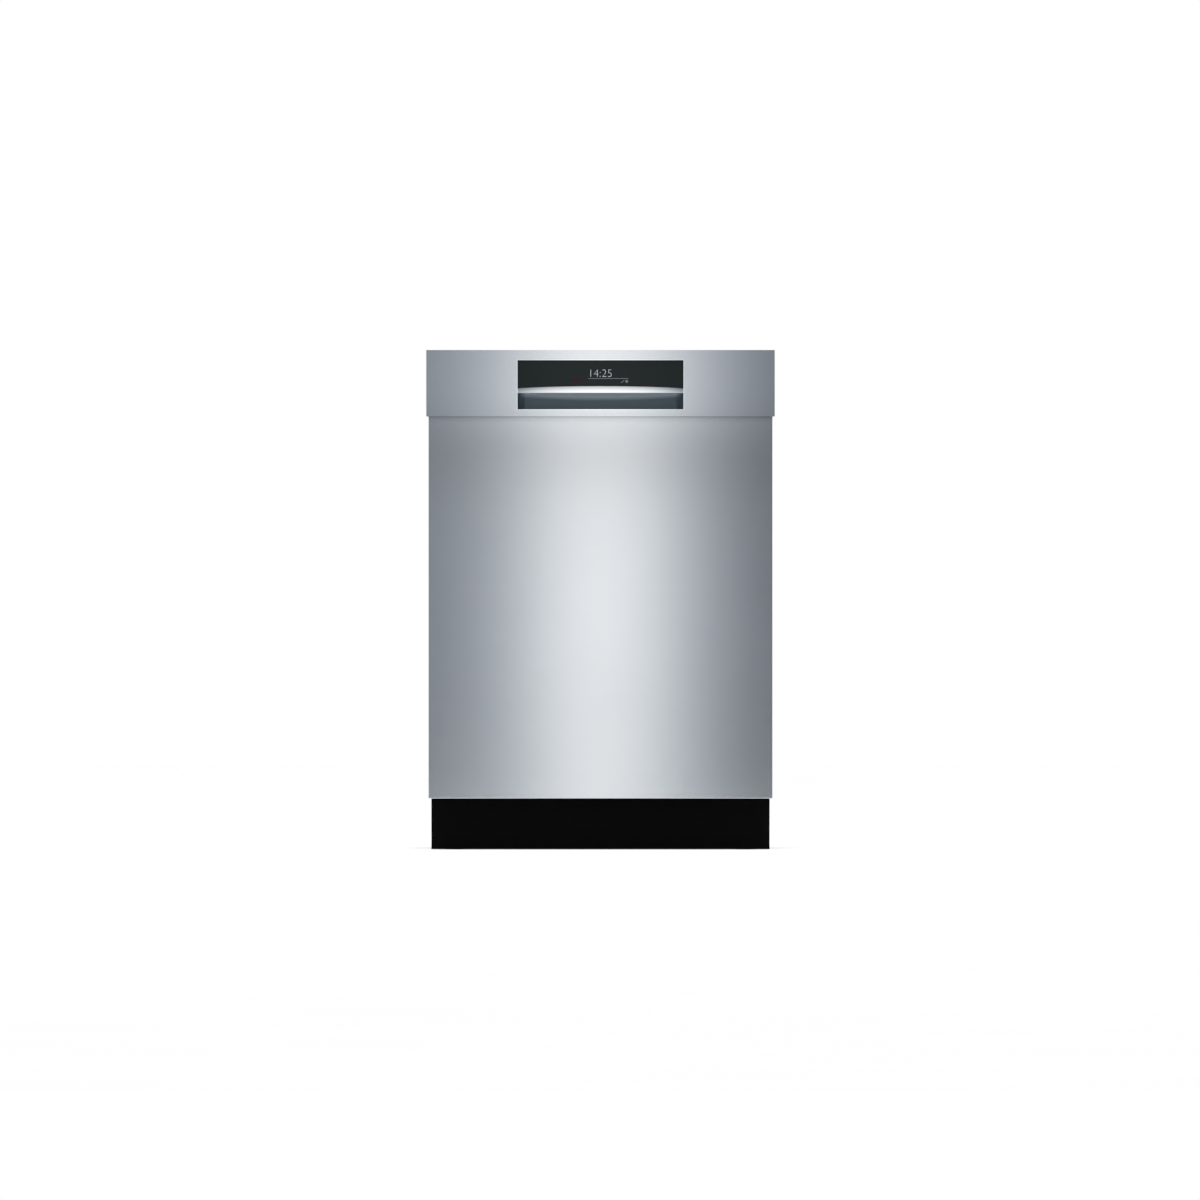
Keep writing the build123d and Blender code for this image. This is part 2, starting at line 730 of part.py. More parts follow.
bracket_x = 150.0
bracket_half = 12.5
bracket_foot_y = frame_front + 36.0
strike_screw_x = 18.0
strike_plate_half = 25.0
strike_plate_tail = 12.0
strike_tip_gap = 2.0
strike_screw_y = frame_front + 18.0
cover_screws = [(-bracket_x, bracket_foot_y), (bracket_x, bracket_foot_y),
                (-strike_screw_x, strike_screw_y), (strike_screw_x, strike_screw_y)]
with BuildPart() as top_cover:
    block(-cabinet_half, cabinet_half, frame_front, rear_y, cover_bottom, cover_height)
    for screw_place in cover_screws:
        upright(*screw_place, screw_radius + run_gap, cover_bottom, cover_height, Mode.SUBTRACT)
save(top_cover, "top_cover")

# Countertop brackets: stepped tabs with a screw hole towards the worktop
tab_top = overall_height - sheet
tab_hole_y = bracket_foot_y - 22.0
tab_hole_radius = 2.2
tab_reach = 10.0
bracket_foot_half = 12.0
with BuildPart() as countertop_brackets:
    for side in (-1, 1):
        tab_left = side * bracket_x - bracket_half
        tab_right = side * bracket_x + bracket_half
        riser_front = bracket_foot_y - bracket_foot_half
        block(tab_left, tab_right, riser_front, bracket_foot_y + bracket_foot_half, cover_height,
              cover_height + sheet)
        block(tab_left, tab_right, riser_front, riser_front + sheet, cover_height, tab_top)
        block(tab_left, tab_right, tab_hole_y - tab_reach, riser_front + sheet, tab_top - sheet, tab_top)
        upright(side * bracket_x, tab_hole_y, tab_hole_radius, tab_top - sheet, tab_top, Mode.SUBTRACT)
        upright(side * bracket_x, bracket_foot_y, screw_radius + run_gap, cover_height, cover_height + sheet,
                Mode.SUBTRACT)
save(countertop_brackets, "countertop_brackets")

# Latch strike: the tongue that enters the door's latch
with BuildPart() as latch_strike:
    strike_top = cover_height + strike_thickness
    block(-strike_plate_half, strike_plate_half, frame_front, strike_screw_y + strike_plate_tail,
          cover_height, strike_top)
    block(-strike_half, strike_half, frame_front - strike_reach + strike_tip_gap, frame_front, cover_height,
          strike_top)
    for side in (-1, 1):
        upright(side * strike_screw_x, strike_screw_y, screw_radius + run_gap, cover_height, strike_top,
                Mode.SUBTRACT)
save(latch_strike, "latch_strike")

# Toe panel, clipped to the front of the base, and the screws of the top cover
with BuildPart() as toe_panel:
    block(-toe_width / 2, toe_width / 2, toe_front, base_front, toe_floor_gap, toe_floor_gap + toe_height)
save(toe_panel, "toe_panel")

with BuildPart() as cabinet_screws:
    for number, screw_place in enumerate(cover_screws):
        seat = cover_height + (sheet if number < 2 else strike_thickness)
        upright(*screw_place, screw_radius, cover_bottom - screw_tail, seat)
        upright(*screw_place, screw_head_radius, seat, seat + screw_head_height)
save(cabinet_screws, "cabinet_screws")

# Housings of the door balance springs, lying on the base floor
spring_radius = 14.0
spring_length = 250.0
spring_foot_half = 8.0
spring_foot_height = 4.0
spring_front = base_front + 63.0
spring_rear = spring_front + spring_length
spring_x = base_half - base_wall - spring_radius - 2.0
with BuildPart() as spring_housings:
    for side in (-1, 1):
        lengthwise(side * spring_x, base_floor + spring_radius, spring_radius, spring_front, spring_rear)
        block(side * spring_x - spring_foot_half, side * spring_x + spring_foot_half, spring_front,
              spring_rear, base_floor, base_floor + spring_foot_height)
save(spring_housings, "spring_housings")

# Sump: the well under the tub floor with two pump connections and the spray post
pump_start = sump_y + sump_radius + 8.0
drain_start = -sump_radius - 12.0
post_top = lower_arm_bottom - 2.0
axle_radius = 6.0
with BuildPart() as sump:
    upright(0, sump_y, sump_radius, sump_bottom, tub_floor_height)
    lengthwise(0, pump_height, pump_port_radius + port_wall, sump_y, pump_start)
    crosswise(sump_y, pump_height, drain_port_radius + port_wall, drain_start, 0)
    upright(0, sump_y, sump_radius + sump_flange, tub_floor_height, tub_floor_height + sump_flange_thickness)
    upright(0, sump_y, sump_radius - sump_wall, sump_bottom + sump_wall,
            tub_floor_height + sump_flange_thickness, Mode.SUBTRACT)
    lengthwise(0, pump_height, pump_port_radius, sump_y, pump_start, Mode.SUBTRACT)
    crosswise(sump_y, pump_height, drain_port_radius, drain_start, 0, Mode.SUBTRACT)
    upright(0, sump_y, post_radius, sump_bottom, post_top)
    upright(0, sump_y, axle_radius, post_top, lower_arm_bottom + arm_height + axle_rise)
save(sump, "sump")

# Filter: a flat screen over the well and a cylinder that twists out
screen_bottom = tub_floor_height + sump_flange_thickness
screen_top = screen_bottom + sheet
with BuildPart() as filter_screen:
    upright(0, sump_y, sump_radius + screen_overlap, screen_bottom, screen_top)
    upright(0, sump_y, post_radius + free_gap, screen_bottom, screen_top, Mode.SUBTRACT)
    upright(filter_offset, sump_y, filter_radius + free_gap, screen_bottom, screen_top, Mode.SUBTRACT)
save(filter_screen, "filter_screen")

with BuildPart() as filter_cylinder:
    rim_bottom = screen_top + seal_gap
    rim_top = rim_bottom + filter_wall
    filter_foot = sump_bottom + filter_foot_gap
    upright(filter_offset, sump_y, filter_radius, filter_foot, rim_top)
    upright(filter_offset, sump_y, filter_radius + filter_rim, rim_bottom, rim_top)
    upright(filter_offset, sump_y, filter_radius - filter_wall, filter_foot + filter_wall, rim_top,
            Mode.SUBTRACT)
    block(filter_offset - filter_radius, filter_offset + filter_radius, sump_y - filter_bar_half,
          sump_y + filter_bar_half, rim_bottom - filter_bar_drop, rim_bottom + filter_bar_rise)
save(filter_cylinder, "filter_cylinder")

# Circulation pump with its impeller
volute_end = pump_start + volute_length
motor_end = volute_end + motor_length
with BuildPart() as circulation_pump:
    lengthwise(0, pump_height, pump_radius, pump_start, volute_end)
    lengthwise(0, pump_height, motor_radius, volute_end, motor_end)
    block(-pump_foot_half, pump_foot_half, volute_end + pump_foot_inset, motor_end - pump_foot_inset,
          base_floor, pump_height - motor_radius + pump_foot_bite)
    chamber_start = pump_start + volute_wall
    chamber_end = volute_end - volute_wall
    lengthwise(0, pump_height, impeller_radius + chamber_gap, chamber_start, chamber_end, Mode.SUBTRACT)
    lengthwise(0, pump_height, pump_port_radius, pump_start, chamber_start, Mode.SUBTRACT)
    lengthwise(0, pump_height, shaft_radius + run_gap, chamber_end, volute_end + shaft_bore_depth,
               Mode.SUBTRACT)
save(circulation_pump, "circulation_pump")

with BuildPart() as pump_impeller:
    disc_start = pump_start + disc_set_back
    lengthwise(0, pump_height, impeller_radius, disc_start, disc_start + disc_thickness)
    lengthwise(0, pump_height, shaft_radius, disc_start, volute_end + shaft_reach)
    vane_end = impeller_radius - vane_rim_gap
    with BuildSketch(Plane.XZ.offset(-disc_start)):
        with Locations((0, pump_height)):
            with PolarLocations((vane_start + vane_end) / 2, vane_count):
                Rectangle(vane_end - vane_start, vane_thickness)
    extrude(amount=vane_depth)
save(pump_impeller, "pump_impeller")

# Drain pump with its hose spigot at the rear
with BuildPart() as drain_pump:
    crosswise(sump_y, pump_height, drain_pump_radius, drain_start - drain_pump_length, drain_start)
    spigot_end = rear_y - sheet
    spigot_start = spigot_end - spigot_length
    lengthwise(drain_x, pump_height, spigot_radius - pipe_step, sump_y, spigot_start)
    lengthwise(drain_x, pump_height, spigot_radius + collar_step, spigot_start - collar_length, spigot_start)
    lengthwise(drain_x, pump_height, spigot_radius, spigot_start, spigot_end)
save(drain_pump, "drain_pump")

# Inlet valve with its threaded hose spigot at the rear
with BuildPart() as inlet_valve:
    block(valve_x - valve_half, valve_x + valve_half, valve_rear - valve_length, valve_rear, base_floor,
          valve_z + valve_rise)
    lengthwise(valve_x, valve_z, inlet_radius, valve_rear, valve_rear + inlet_length)
    lengthwise(valve_x, valve_z, valve_bore_radius, valve_rear + valve_bore_floor, valve_rear + inlet_length,
               Mode.SUBTRACT)
save(inlet_valve, "inlet_valve")

# Junction box with a conduit hole at the rear
with BuildPart() as junction_box:
    block(box_left, box_right, box_front, box_rear, base_floor, box_top)
    block(box_left + box_wall, box_right - box_wall, box_front + box_wall, box_rear - box_wall,
          base_floor + box_wall, box_top - box_wall, Mode.SUBTRACT)
    lengthwise(box_x, box_z, conduit_radius, box_rear - box_wall, box_rear, Mode.SUBTRACT)
save(junction_box, "junction_box")

# Spray riser on the rear wall with the docking nozzle of the upper rack
dock_z = upper_rack_floor - 6.0
with BuildPart() as spray_riser:
    riser_face = tub_rear - riser_depth
    block(-riser_half, riser_half, riser_face, tub_rear, tub_floor_height, dock_z + riser_rise)
    lengthwise(0, dock_z, nozzle_radius, riser_face - nozzle_length, riser_face)
save(spray_riser, "spray_riser")


def spray_arm(radius, x, y, z0, bore, hub_low, hub_high):
    """A long hollow-looking arm with rounded ends, turning on a central bore."""
    with BuildSketch(Plane.XY.offset(z0)) as outline:
        with Locations((x, y)):
            SlotOverall(2 * radius, arm_blade_width)
    extrude(outline.sketch, amount=arm_height)
    upright(x, y, post_radius + hub_wall, hub_low, hub_high)
    upright(x, y, bore + run_gap, hub_low, hub_high, Mode.SUBTRACT)


with BuildPart() as lower_spray_arm:
    spray_arm(lower_arm_radius, 0, sump_y, lower_arm_bottom, axle_radius, post_top + seal_gap,
              lower_arm_bottom + arm_height + hub_rise)
save(lower_spray_arm, "lower_spray_arm")

upper_arm_top = dock_z - 8.0
upper_arm_bottom = upper_arm_top - arm_height
with BuildPart() as upper_spray_arm:
    spray_arm(upper_arm_radius, 0, sump_y, upper_arm_bottom, axle_radius, upper_arm_bottom - hub_rise,
              upper_arm_top + hub_rise)
save(upper_spray_arm, "upper_spray_arm")

# Racks: flat wire nets, one for the floor and one for each wall
net_gap = 0.2
net_pitch = 64.0


def net(plane, width, height, pitch):
    """A flat net of crossing wires, as thick as a wire."""
    columns = max(1, round((width - wire) / pitch))
    rows = max(1, round((height - wire) / pitch))
    step_x = (width - wire) / columns
    step_y = (height - wire) / rows
    with BuildSketch(plane) as outline:
        Rectangle(width, height)
        with GridLocations(step_x, step_y, columns, rows):
            Rectangle(step_x - wire, step_y - wire, mode=Mode.SUBTRACT)
    extrude(outline.sketch, amount=wire)


def basket(half, y0, y1, z0, z1, pitch):
    """A floor net with four wall nets standing on it."""
    middle_y = (y0 + y1) / 2
    wall_bottom = z0 + wire + net_gap
    middle_z = (wall_bottom + z1) / 2
    end_width = 2 * (half - wire - net_gap)
    net(Plane((0, middle_y, z0)), 2 * half, y1 - y0, pitch)
    for start in (-half, half - wire):
        net(Plane((start, middle_y, middle_z), x_dir=(0, 1, 0), z_dir=(1, 0, 0)), y1 - y0, z1 - wall_bottom,
            pitch)
    for start in (y0 + wire, y1):
        end_plane = Plane((0, start, middle_z), x_dir=(1, 0, 0), z_dir=(0, -1, 0))
        net(end_plane, end_width, z1 - wall_bottom, pitch)


wheel_z = tub_floor_height + wheel_radius + seal_gap
wheel_x = lower_rack_width / 2 + 6.0
wheel_pin_radius = 4.0
with BuildPart() as lower_rack:
    rack_half = lower_rack_width / 2
    basket(rack_half, lower_rack_front, lower_rack_rear, lower_rack_floor, lower_rack_top, net_pitch)
    for side in (-1, 1):
        for wheel_y in (front_wheel_y, rear_wheel_y):
            plate_outer = rack_half + wheel_plate_thickness
            plate_x = sorted((side * (rack_half + net_gap), side * plate_outer))
            block(*plate_x, wheel_y - wheel_plate_half, wheel_y + wheel_plate_half,
                  wheel_z - wheel_plate_half, lower_rack_floor + wheel_plate_rise)
            pin_x = sorted((side * plate_outer, side * (wheel_x + wheel_width + wheel_pin_end)))
            crosswise(wheel_y, wheel_z, wheel_pin_radius, *pin_x)
save(lower_rack, "lower_rack")

for wheel_y, wheel_name in ((front_wheel_y, "front_wheels"), (rear_wheel_y, "rear_wheels")):
    with BuildPart() as wheel_pair:
        for side in (-1, 1):
            wheel_ends = sorted((side * wheel_x, side * (wheel_x + wheel_width)))
            crosswise(wheel_y, wheel_z, wheel_radius, *wheel_ends)
            crosswise(wheel_y, wheel_z, wheel_pin_radius + run_gap, *wheel_ends, Mode.SUBTRACT)
    save(wheel_pair, wheel_name)

# Folding tine rows: combs that turn on the bar lying on the rack floor
tine_axis_z = lower_rack_floor + wire + wire / 2 + free_gap
tine_middle_y = (lower_rack_front + lower_rack_rear) / 2
tine_pitch = (tine_row_length - wire) / (tine_count - 1)
for side, row_name in ((-1, "tine_row_left"), (1, "tine_row_right")):
    with BuildPart() as tine_row:
        lengthwise(side * tine_row_x, tine_axis_z, wire / 2, tine_middle_y - tine_row_length / 2,
                   tine_middle_y + tine_row_length / 2)
        with Locations((side * tine_row_x, tine_middle_y, tine_axis_z + tine_height / 2)):
            with GridLocations(1, tine_pitch, 1, tine_count):
                Cylinder(wire / 2 - tine_thinning, tine_height)
    save(tine_row, row_name)

# Upper rack on telescopic rails: wall rail, sliding rail and the rack's side bar
rail_front = frame_back + rail_front_gap
rail_y = (rail_front, rail_front + rail_length)
rail_top = rail_z + rail_height
rail_inner = tub_half - rail_thickness
slide_outer = rail_inner - free_gap
slide_inner = slide_outer - rail_thickness
tongue = 3.0
tongue_half = 3.0
rail_middle = rail_z + rail_height / 2


def side_bar(side, inner, outer, y0, y1, z0, z1):
    """One bar of a pair, mirrored to the other side by its sign."""
    block(*sorted((side * inner, side * outer)), y0, y1, z0, z1)


def side_groove(side, inner, outer, y0, y1, middle, half_height):
    """A groove along a bar."""
    block(*sorted((side * inner, side * outer)), y0, y1, middle - half_height, middle + half_height,
          Mode.SUBTRACT)


with BuildPart() as rack_rails:
    for side in (-1, 1):
        side_bar(side, rail_inner, tub_half, *rail_y, rail_z, rail_top)
        side_groove(side, rail_inner, rail_inner + tongue + free_gap, *rail_y, rail_middle,
                    tongue_half + free_gap)
save(rack_rails, "rack_rails")

with BuildPart() as rail_slides:
    for side in (-1, 1):
        side_bar(side, slide_inner, slide_outer, *rail_y, rail_z, rail_top)
        side_bar(side, slide_outer, slide_outer + tongue, *rail_y, rail_middle - tongue_half,
                 rail_middle + tongue_half)
        side_groove(side, slide_inner, slide_inner + tongue + free_gap, *rail_y, rail_middle,
                    tongue_half + free_gap)
save(rail_slides, "rail_slides")

rack_rear = lower_rack_rear
with BuildPart() as upper_rack:
    rack_half = upper_rack_width / 2
    bar_y = (upper_rack_front + side_bar_front_inset, rack_rear - side_bar_rear_inset)
    basket(rack_half, upper_rack_front, rack_rear, upper_rack_floor, upper_rack_top, net_pitch)
    for side in (-1, 1):
        side_bar(side, rack_half + net_gap, slide_inner - free_gap, *bar_y, rail_z, rail_top)
        side_bar(side, slide_inner - free_gap, slide_inner - free_gap + tongue, *bar_y,
                 rail_middle - tongue_half, rail_middle + tongue_half)
    duct_bottom = dock_z - duct_drop
    block(-duct_half, duct_half, sump_y - duct_front_reach, rack_rear, duct_bottom,
          upper_rack_floor - net_gap)
    upright(0, sump_y, axle_radius, upper_arm_bottom - upper_axle_drop, duct_bottom)
    upright(0, sump_y, axle_radius + retainer_step, upper_arm_bottom - retainer_low,
            upper_arm_bottom - retainer_high)
save(upper_rack, "upper_rack")

# Cutlery tray on its own wall rails
tray_half = tray_width / 2
tray_rail_inner = tray_half + tray_rail_gap
tray_rail_top = tray_rail_z + tray_rail_height
tray_rail_middle = (tray_rail_z + tray_rail_top) / 2
with BuildPart() as tray_rails:
    for side in (-1, 1):
        side_bar(side, tray_rail_inner, tub_half, *rail_y, tray_rail_z, tray_rail_top)
        side_groove(side, tray_rail_inner, tray_rail_inner + tray_groove, *rail_y, tray_rail_middle,
                    tongue_half + free_gap)
save(tray_rails, "tray_rails")

with BuildPart() as cutlery_tray:
    basket(tray_half, tray_front, rack_rear, tray_floor, tray_top, net_pitch)
    for side in (-1, 1):
        side_bar(side, tray_half + net_gap, tray_rail_inner + tray_tongue, *bar_y,
                 tray_rail_middle - tongue_half, tray_rail_middle + tongue_half)
save(cutlery_tray, "cutlery_tray")
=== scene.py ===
"""Looks of the built-in dishwasher: materials, finer pieces, stage and camera."""

import json
from math import cos, exp, hypot, pi, radians, sin

import bmesh
import bpy
from mathutils import Matrix, Vector


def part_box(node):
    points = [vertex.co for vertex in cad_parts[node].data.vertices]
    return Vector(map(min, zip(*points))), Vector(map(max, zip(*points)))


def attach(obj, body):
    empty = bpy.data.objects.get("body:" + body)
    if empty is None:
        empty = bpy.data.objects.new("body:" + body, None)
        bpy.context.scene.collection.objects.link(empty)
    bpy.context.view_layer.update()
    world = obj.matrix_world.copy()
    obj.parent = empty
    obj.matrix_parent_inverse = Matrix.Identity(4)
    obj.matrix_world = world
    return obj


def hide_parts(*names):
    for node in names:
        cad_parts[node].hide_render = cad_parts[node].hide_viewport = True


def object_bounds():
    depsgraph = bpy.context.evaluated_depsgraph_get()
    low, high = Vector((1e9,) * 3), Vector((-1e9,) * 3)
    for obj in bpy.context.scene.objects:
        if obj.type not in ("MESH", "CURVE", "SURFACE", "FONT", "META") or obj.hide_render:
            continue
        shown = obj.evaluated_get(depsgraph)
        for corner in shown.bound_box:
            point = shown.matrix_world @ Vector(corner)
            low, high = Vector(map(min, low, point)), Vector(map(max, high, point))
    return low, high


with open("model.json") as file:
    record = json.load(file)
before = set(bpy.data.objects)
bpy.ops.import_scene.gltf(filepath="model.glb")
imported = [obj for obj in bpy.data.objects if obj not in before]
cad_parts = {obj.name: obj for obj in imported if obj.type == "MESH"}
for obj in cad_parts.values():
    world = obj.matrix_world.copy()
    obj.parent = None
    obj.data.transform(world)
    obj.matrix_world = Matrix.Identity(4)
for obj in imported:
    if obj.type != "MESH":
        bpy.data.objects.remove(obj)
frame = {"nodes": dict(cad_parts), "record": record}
cad_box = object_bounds()
nodes = frame["nodes"]

# Photograph: straight front view, one pixel in metres at the front face
PHOTO_SIDE = 1200
METRE_PER_PIXEL = 0.00172
PHOTO_CENTRE_X = 600.5
PHOTO_BOTTOM_Y = 850.0
CAMERA_DISTANCE = 40.0
SENSOR = 36.0
CLIP_END = 100.0

front_y = cad_box[0].y
GLASS_RECESS = 0.001
SPRAY_AXIS_Y = 0.02


def photo_point(pixel_x, pixel_y):
    """Place of a photo pixel on the front face: x and z in metres."""
    return (pixel_x - PHOTO_CENTRE_X) * METRE_PER_PIXEL, (PHOTO_BOTTOM_Y - pixel_y) * METRE_PER_PIXEL


EVEN = (1, 1, 1)


class Shader:
    """A small helper that builds one node material."""

    def __init__(self, name):
        self.material = bpy.data.materials.new(name)
        self.material.use_nodes = True
        self.tree = self.material.node_tree
        self.principled = self.tree.nodes["Principled BSDF"]

    def add(self, kind, **settings):
        node = self.tree.nodes.new(kind)
        for key, value in settings.items():
            setattr(node, key, value)
        return node

    def link(self, start, end):
        self.tree.links.new(start, end)

    def feed(self, **values):
        """Link values into the main shader's inputs."""
        for key, value in values.items():
            self.link(value, self.principled.inputs[key.replace("_", " ")])

    def set(self, **values):
        for key, value in values.items():
            self.principled.inputs[key.replace("_", " ")].default_value = value

    def coordinates(self, scale):
        """Object position stretched by a scale for each axis."""
        place = self.add("ShaderNodeTexCoord")
        mapping = self.add("ShaderNodeMapping")
        mapping.inputs["Scale"].default_value = scale
        self.link(place.outputs["Object"], mapping.inputs["Vector"])
        return mapping.outputs["Vector"]

    def noise(self, scale, stretch=EVEN, detail=3.0):
        """Noise value over the object, stretched along its axes."""
        texture = self.add("ShaderNodeTexNoise")
        texture.inputs["Scale"].default_value = scale
        texture.inputs["Detail"].default_value = detail
        self.link(self.coordinates(stretch), texture.inputs["Vector"])
        return texture.outputs["Fac"]

    def cells(self, scale, randomness):
        """Distance to the nearest cell centre, from a regular grid to loose crystals."""
        texture = self.add("ShaderNodeTexVoronoi")
        texture.inputs["Scale"].default_value = scale
        texture.inputs["Randomness"].default_value = randomness
        self.link(self.coordinates(EVEN), texture.inputs["Vector"])
        return texture.outputs["Distance"]

    def crystals(self, scale):
        """One chance level for each crystal of a broken surface."""
        texture = self.add("ShaderNodeTexVoronoi")
        texture.inputs["Scale"].default_value = scale
        self.link(self.coordinates(EVEN), texture.inputs["Vector"])
        split = self.add("ShaderNodeSeparateColor")
        self.link(texture.outputs["Color"], split.inputs["Color"])
        return split.outputs["Red"]

    def ramp(self, value, low, high, start=0.0, end=1.0):
        """Map a value between two levels to a range."""
        node = self.add("ShaderNodeMapRange")
        node.inputs["From Min"].default_value = start
        node.inputs["From Max"].default_value = end
        node.inputs["To Min"].default_value = low
        node.inputs["To Max"].default_value = high
        self.link(value, node.inputs["Value"])
        return node.outputs["Result"]

    def calculate(self, operation, first, second=None):
        """A sum on one or two values; plain numbers are set on the socket."""
        node = self.add("ShaderNodeMath", operation=operation)
        for socket, value in zip(node.inputs, (first, second)):
            if value is None:
                continue
            if isinstance(value, (int, float)):
                socket.default_value = value
            else:
                self.link(value, socket)
        return node.outputs["Value"]

    def blend(self, value, first, second):
        """Colour that runs from one tint to another with a value."""
        node = self.add("ShaderNodeMix", data_type="RGBA")
        node.inputs["A"].default_value = (*first, 1)
        node.inputs["B"].default_value = (*second, 1)
        self.link(value, node.inputs["Factor"])
        return node.outputs["Result"]

    def bump(self, value, strength, distance):
        node = self.add("ShaderNodeBump")
        node.inputs["Strength"].default_value = strength
        node.inputs["Distance"].default_value = distance
        self.link(value, node.inputs["Height"])
        self.feed(Normal=node.outputs["Normal"])


PAINTED_SHADE_REACH = 0.014


def tint(colour, factor):
    """A colour made lighter or darker."""
    return tuple(channel * factor for channel in colour)


def brushed_metal(name, colour, roughness, grain, contrast, shade=0.0):
    """Metal with fine parallel scratches; grain stretches them on each axis, shade sets how much painted
    shade darkens the corners.
    """
    shader = Shader(name)
    scratches = shader.noise(1.0, stretch=grain, detail=4.0)
    clouds = shader.noise(6.0, detail=2.0)
    shader.set(Metallic=1.0)
    surface = shader.blend(scratches, tint(colour, 1 - contrast), tint(colour, 1 + contrast))
    if shade:
        # Painted shade: ambient occlusion darkens the colour in corners and under overhangs, such as the band
        # on the door under the console
        corners = shader.add("ShaderNodeAmbientOcclusion")
        corners.inputs["Distance"].default_value = PAINTED_SHADE_REACH
        painted_shade_mix = shader.add("ShaderNodeMix", data_type="RGBA", blend_type="MULTIPLY")
        painted_shade_mix.inputs["Factor"].default_value = shade
        shader.link(surface, painted_shade_mix.inputs["A"])
        shader.link(corners.outputs["Color"], painted_shade_mix.inputs["B"])
        surface = painted_shade_mix.outputs["Result"]
    shader.feed(Base_Color=surface, Roughness=shader.ramp(clouds, roughness * 0.9, roughness * 1.1))
    shader.bump(scratches, strength=0.06, distance=0.0002)
    return shader.material


def polished_metal(name, colour, roughness):
    """Bright metal with very faint wear."""
    shader = Shader(name)
    wear = shader.noise(120.0, detail=4.0)
    shader.set(Metallic=1.0)
    shader.feed(Base_Color=shader.blend(wear, tint(colour, 0.97), tint(colour, 1.02)),
                Roughness=shader.ramp(wear, roughness * 0.7, roughness * 1.3))
    return shader.material


def zinc_metal(name, colour):
    """Galvanised sheet with faint zinc crystals of two sizes."""
    shader = Shader(name)
    flakes = shader.ramp(shader.calculate("ADD", shader.crystals(70.0), shader.crystals(190.0)), 0.0, 1.0,
                         end=2.0)
    shader.set(Metallic=0.85)
    shader.feed(Base_Color=shader.blend(flakes, tint(colour, 0.9), tint(colour, 1.08)),
                Roughness=shader.ramp(flakes, 0.4, 0.56))
    return shader.material


def perforated_metal(name, colour, hole_pitch):
    """Steel sheet with rows of fine dark holes."""
    shader = Shader(name)
    holes = shader.ramp(shader.cells(1 / hole_pitch, randomness=0.0), 1.0, 0.0, start=0.26, end=0.34)
    grain = shader.noise(500.0)
    shader.feed(Base_Color=shader.blend(holes, colour, (0.02, 0.02, 0.022)),
                Metallic=shader.ramp(holes, 1.0, 0.0),
                Roughness=shader.ramp(grain, 0.26, 0.4))
    shader.bump(shader.ramp(holes, 1.0, 0.0), strength=0.5, distance=0.0005)
    return shader.material


def moulded(name, colour, roughness, grain_scale, specular=0.5):
    """Plastic or paint with a fine moulded grain."""
    shader = Shader(name)
    grain = shader.noise(grain_scale)
    clouds = shader.noise(7.0, detail=2.0)
    shader.set(Specular_IOR_Level=specular)
    shader.feed(Base_Color=shader.blend(clouds, tint(colour, 0.93), tint(colour, 1.07)),
                Roughness=shader.ramp(grain, roughness * 0.9, min(1.0, roughness * 1.1)))
    shader.bump(grain, strength=0.12, distance=0.0002)
    return shader.material


def felt(name, colour):
    """Pressed felt with loose fibres."""
    shader = Shader(name)
    fibres = shader.noise(420.0, stretch=(1, 1, 0.4), detail=6.0)
    shader.set(Sheen_Weight=0.3, Specular_IOR_Level=0.1)
    shader.feed(Base_Color=shader.blend(fibres, tint(colour, 0.6), tint(colour, 1.5)),
                Roughness=shader.ramp(fibres, 0.85, 1.0))
    shader.bump(fibres, strength=0.6, distance=0.001)
    return shader.material


def glow(name, colour, strength):
    """A lit mark on the display, with a faint unevenness."""
    shader = Shader(name)
    patches = shader.noise(300.0, detail=2.0)
    shader.set(Emission_Strength=strength, Roughness=0.5, Specular_IOR_Level=0.0)
    lit = shader.blend(patches, tint(colour, 0.9), tint(colour, 1.05))
    shader.feed(Base_Color=lit, Emission_Color=lit)
    return shader.material


PAINTED_BAND_SOFTNESS = 2.2
PAINTED_END_SHADE_SHARE = 0.3
PAINTED_END_SHADE_SPAN = (0.84, 0.97)


def pocket_plastic(name, shade, light, painted_band_top, painted_band_drop, half_width):
    """Dark moulded scoop with painted shade at its ends and a painted light band along its top, hanging lower
    in the middle.
    """
    shader = Shader(name)
    grain = shader.noise(1500.0)
    split = shader.add("ShaderNodeSeparateXYZ")
    shader.link(shader.coordinates((1 / half_width, 1, 1)), split.inputs["Vector"])
    curve = shader.calculate("MULTIPLY", split.outputs["X"], split.outputs["X"])
    lift = shader.calculate("MULTIPLY", curve, painted_band_drop)
    height = shader.calculate("SUBTRACT", split.outputs["Z"], lift)
    # Painted light: a lighter band along the top of the scoop, hanging lower in the middle
    painted_light_band = shader.ramp(height, 0.0, 1.0, painted_band_top - PAINTED_BAND_SOFTNESS * painted_band_drop, painted_band_top - painted_band_drop)
    # Painted shade: the scoop's end walls are darkened towards their outer ends
    painted_end_shade = shader.add("ShaderNodeMix", data_type="RGBA")
    painted_end_shade.inputs["B"].default_value = (*tint(shade, PAINTED_END_SHADE_SHARE), 1)
    shader.link(shader.ramp(curve, 0.0, 1.0, *PAINTED_END_SHADE_SPAN), painted_end_shade.inputs["Factor"])
    shader.link(shader.blend(painted_light_band, shade, light), painted_end_shade.inputs["A"])
    shader.set(Specular_IOR_Level=0.4)
    shader.feed(Base_Color=painted_end_shade.outputs["Result"], Roughness=shader.ramp(grain, 0.36, 0.46))
    shader.bump(grain, strength=0.1, distance=0.0002)
    return shader.material


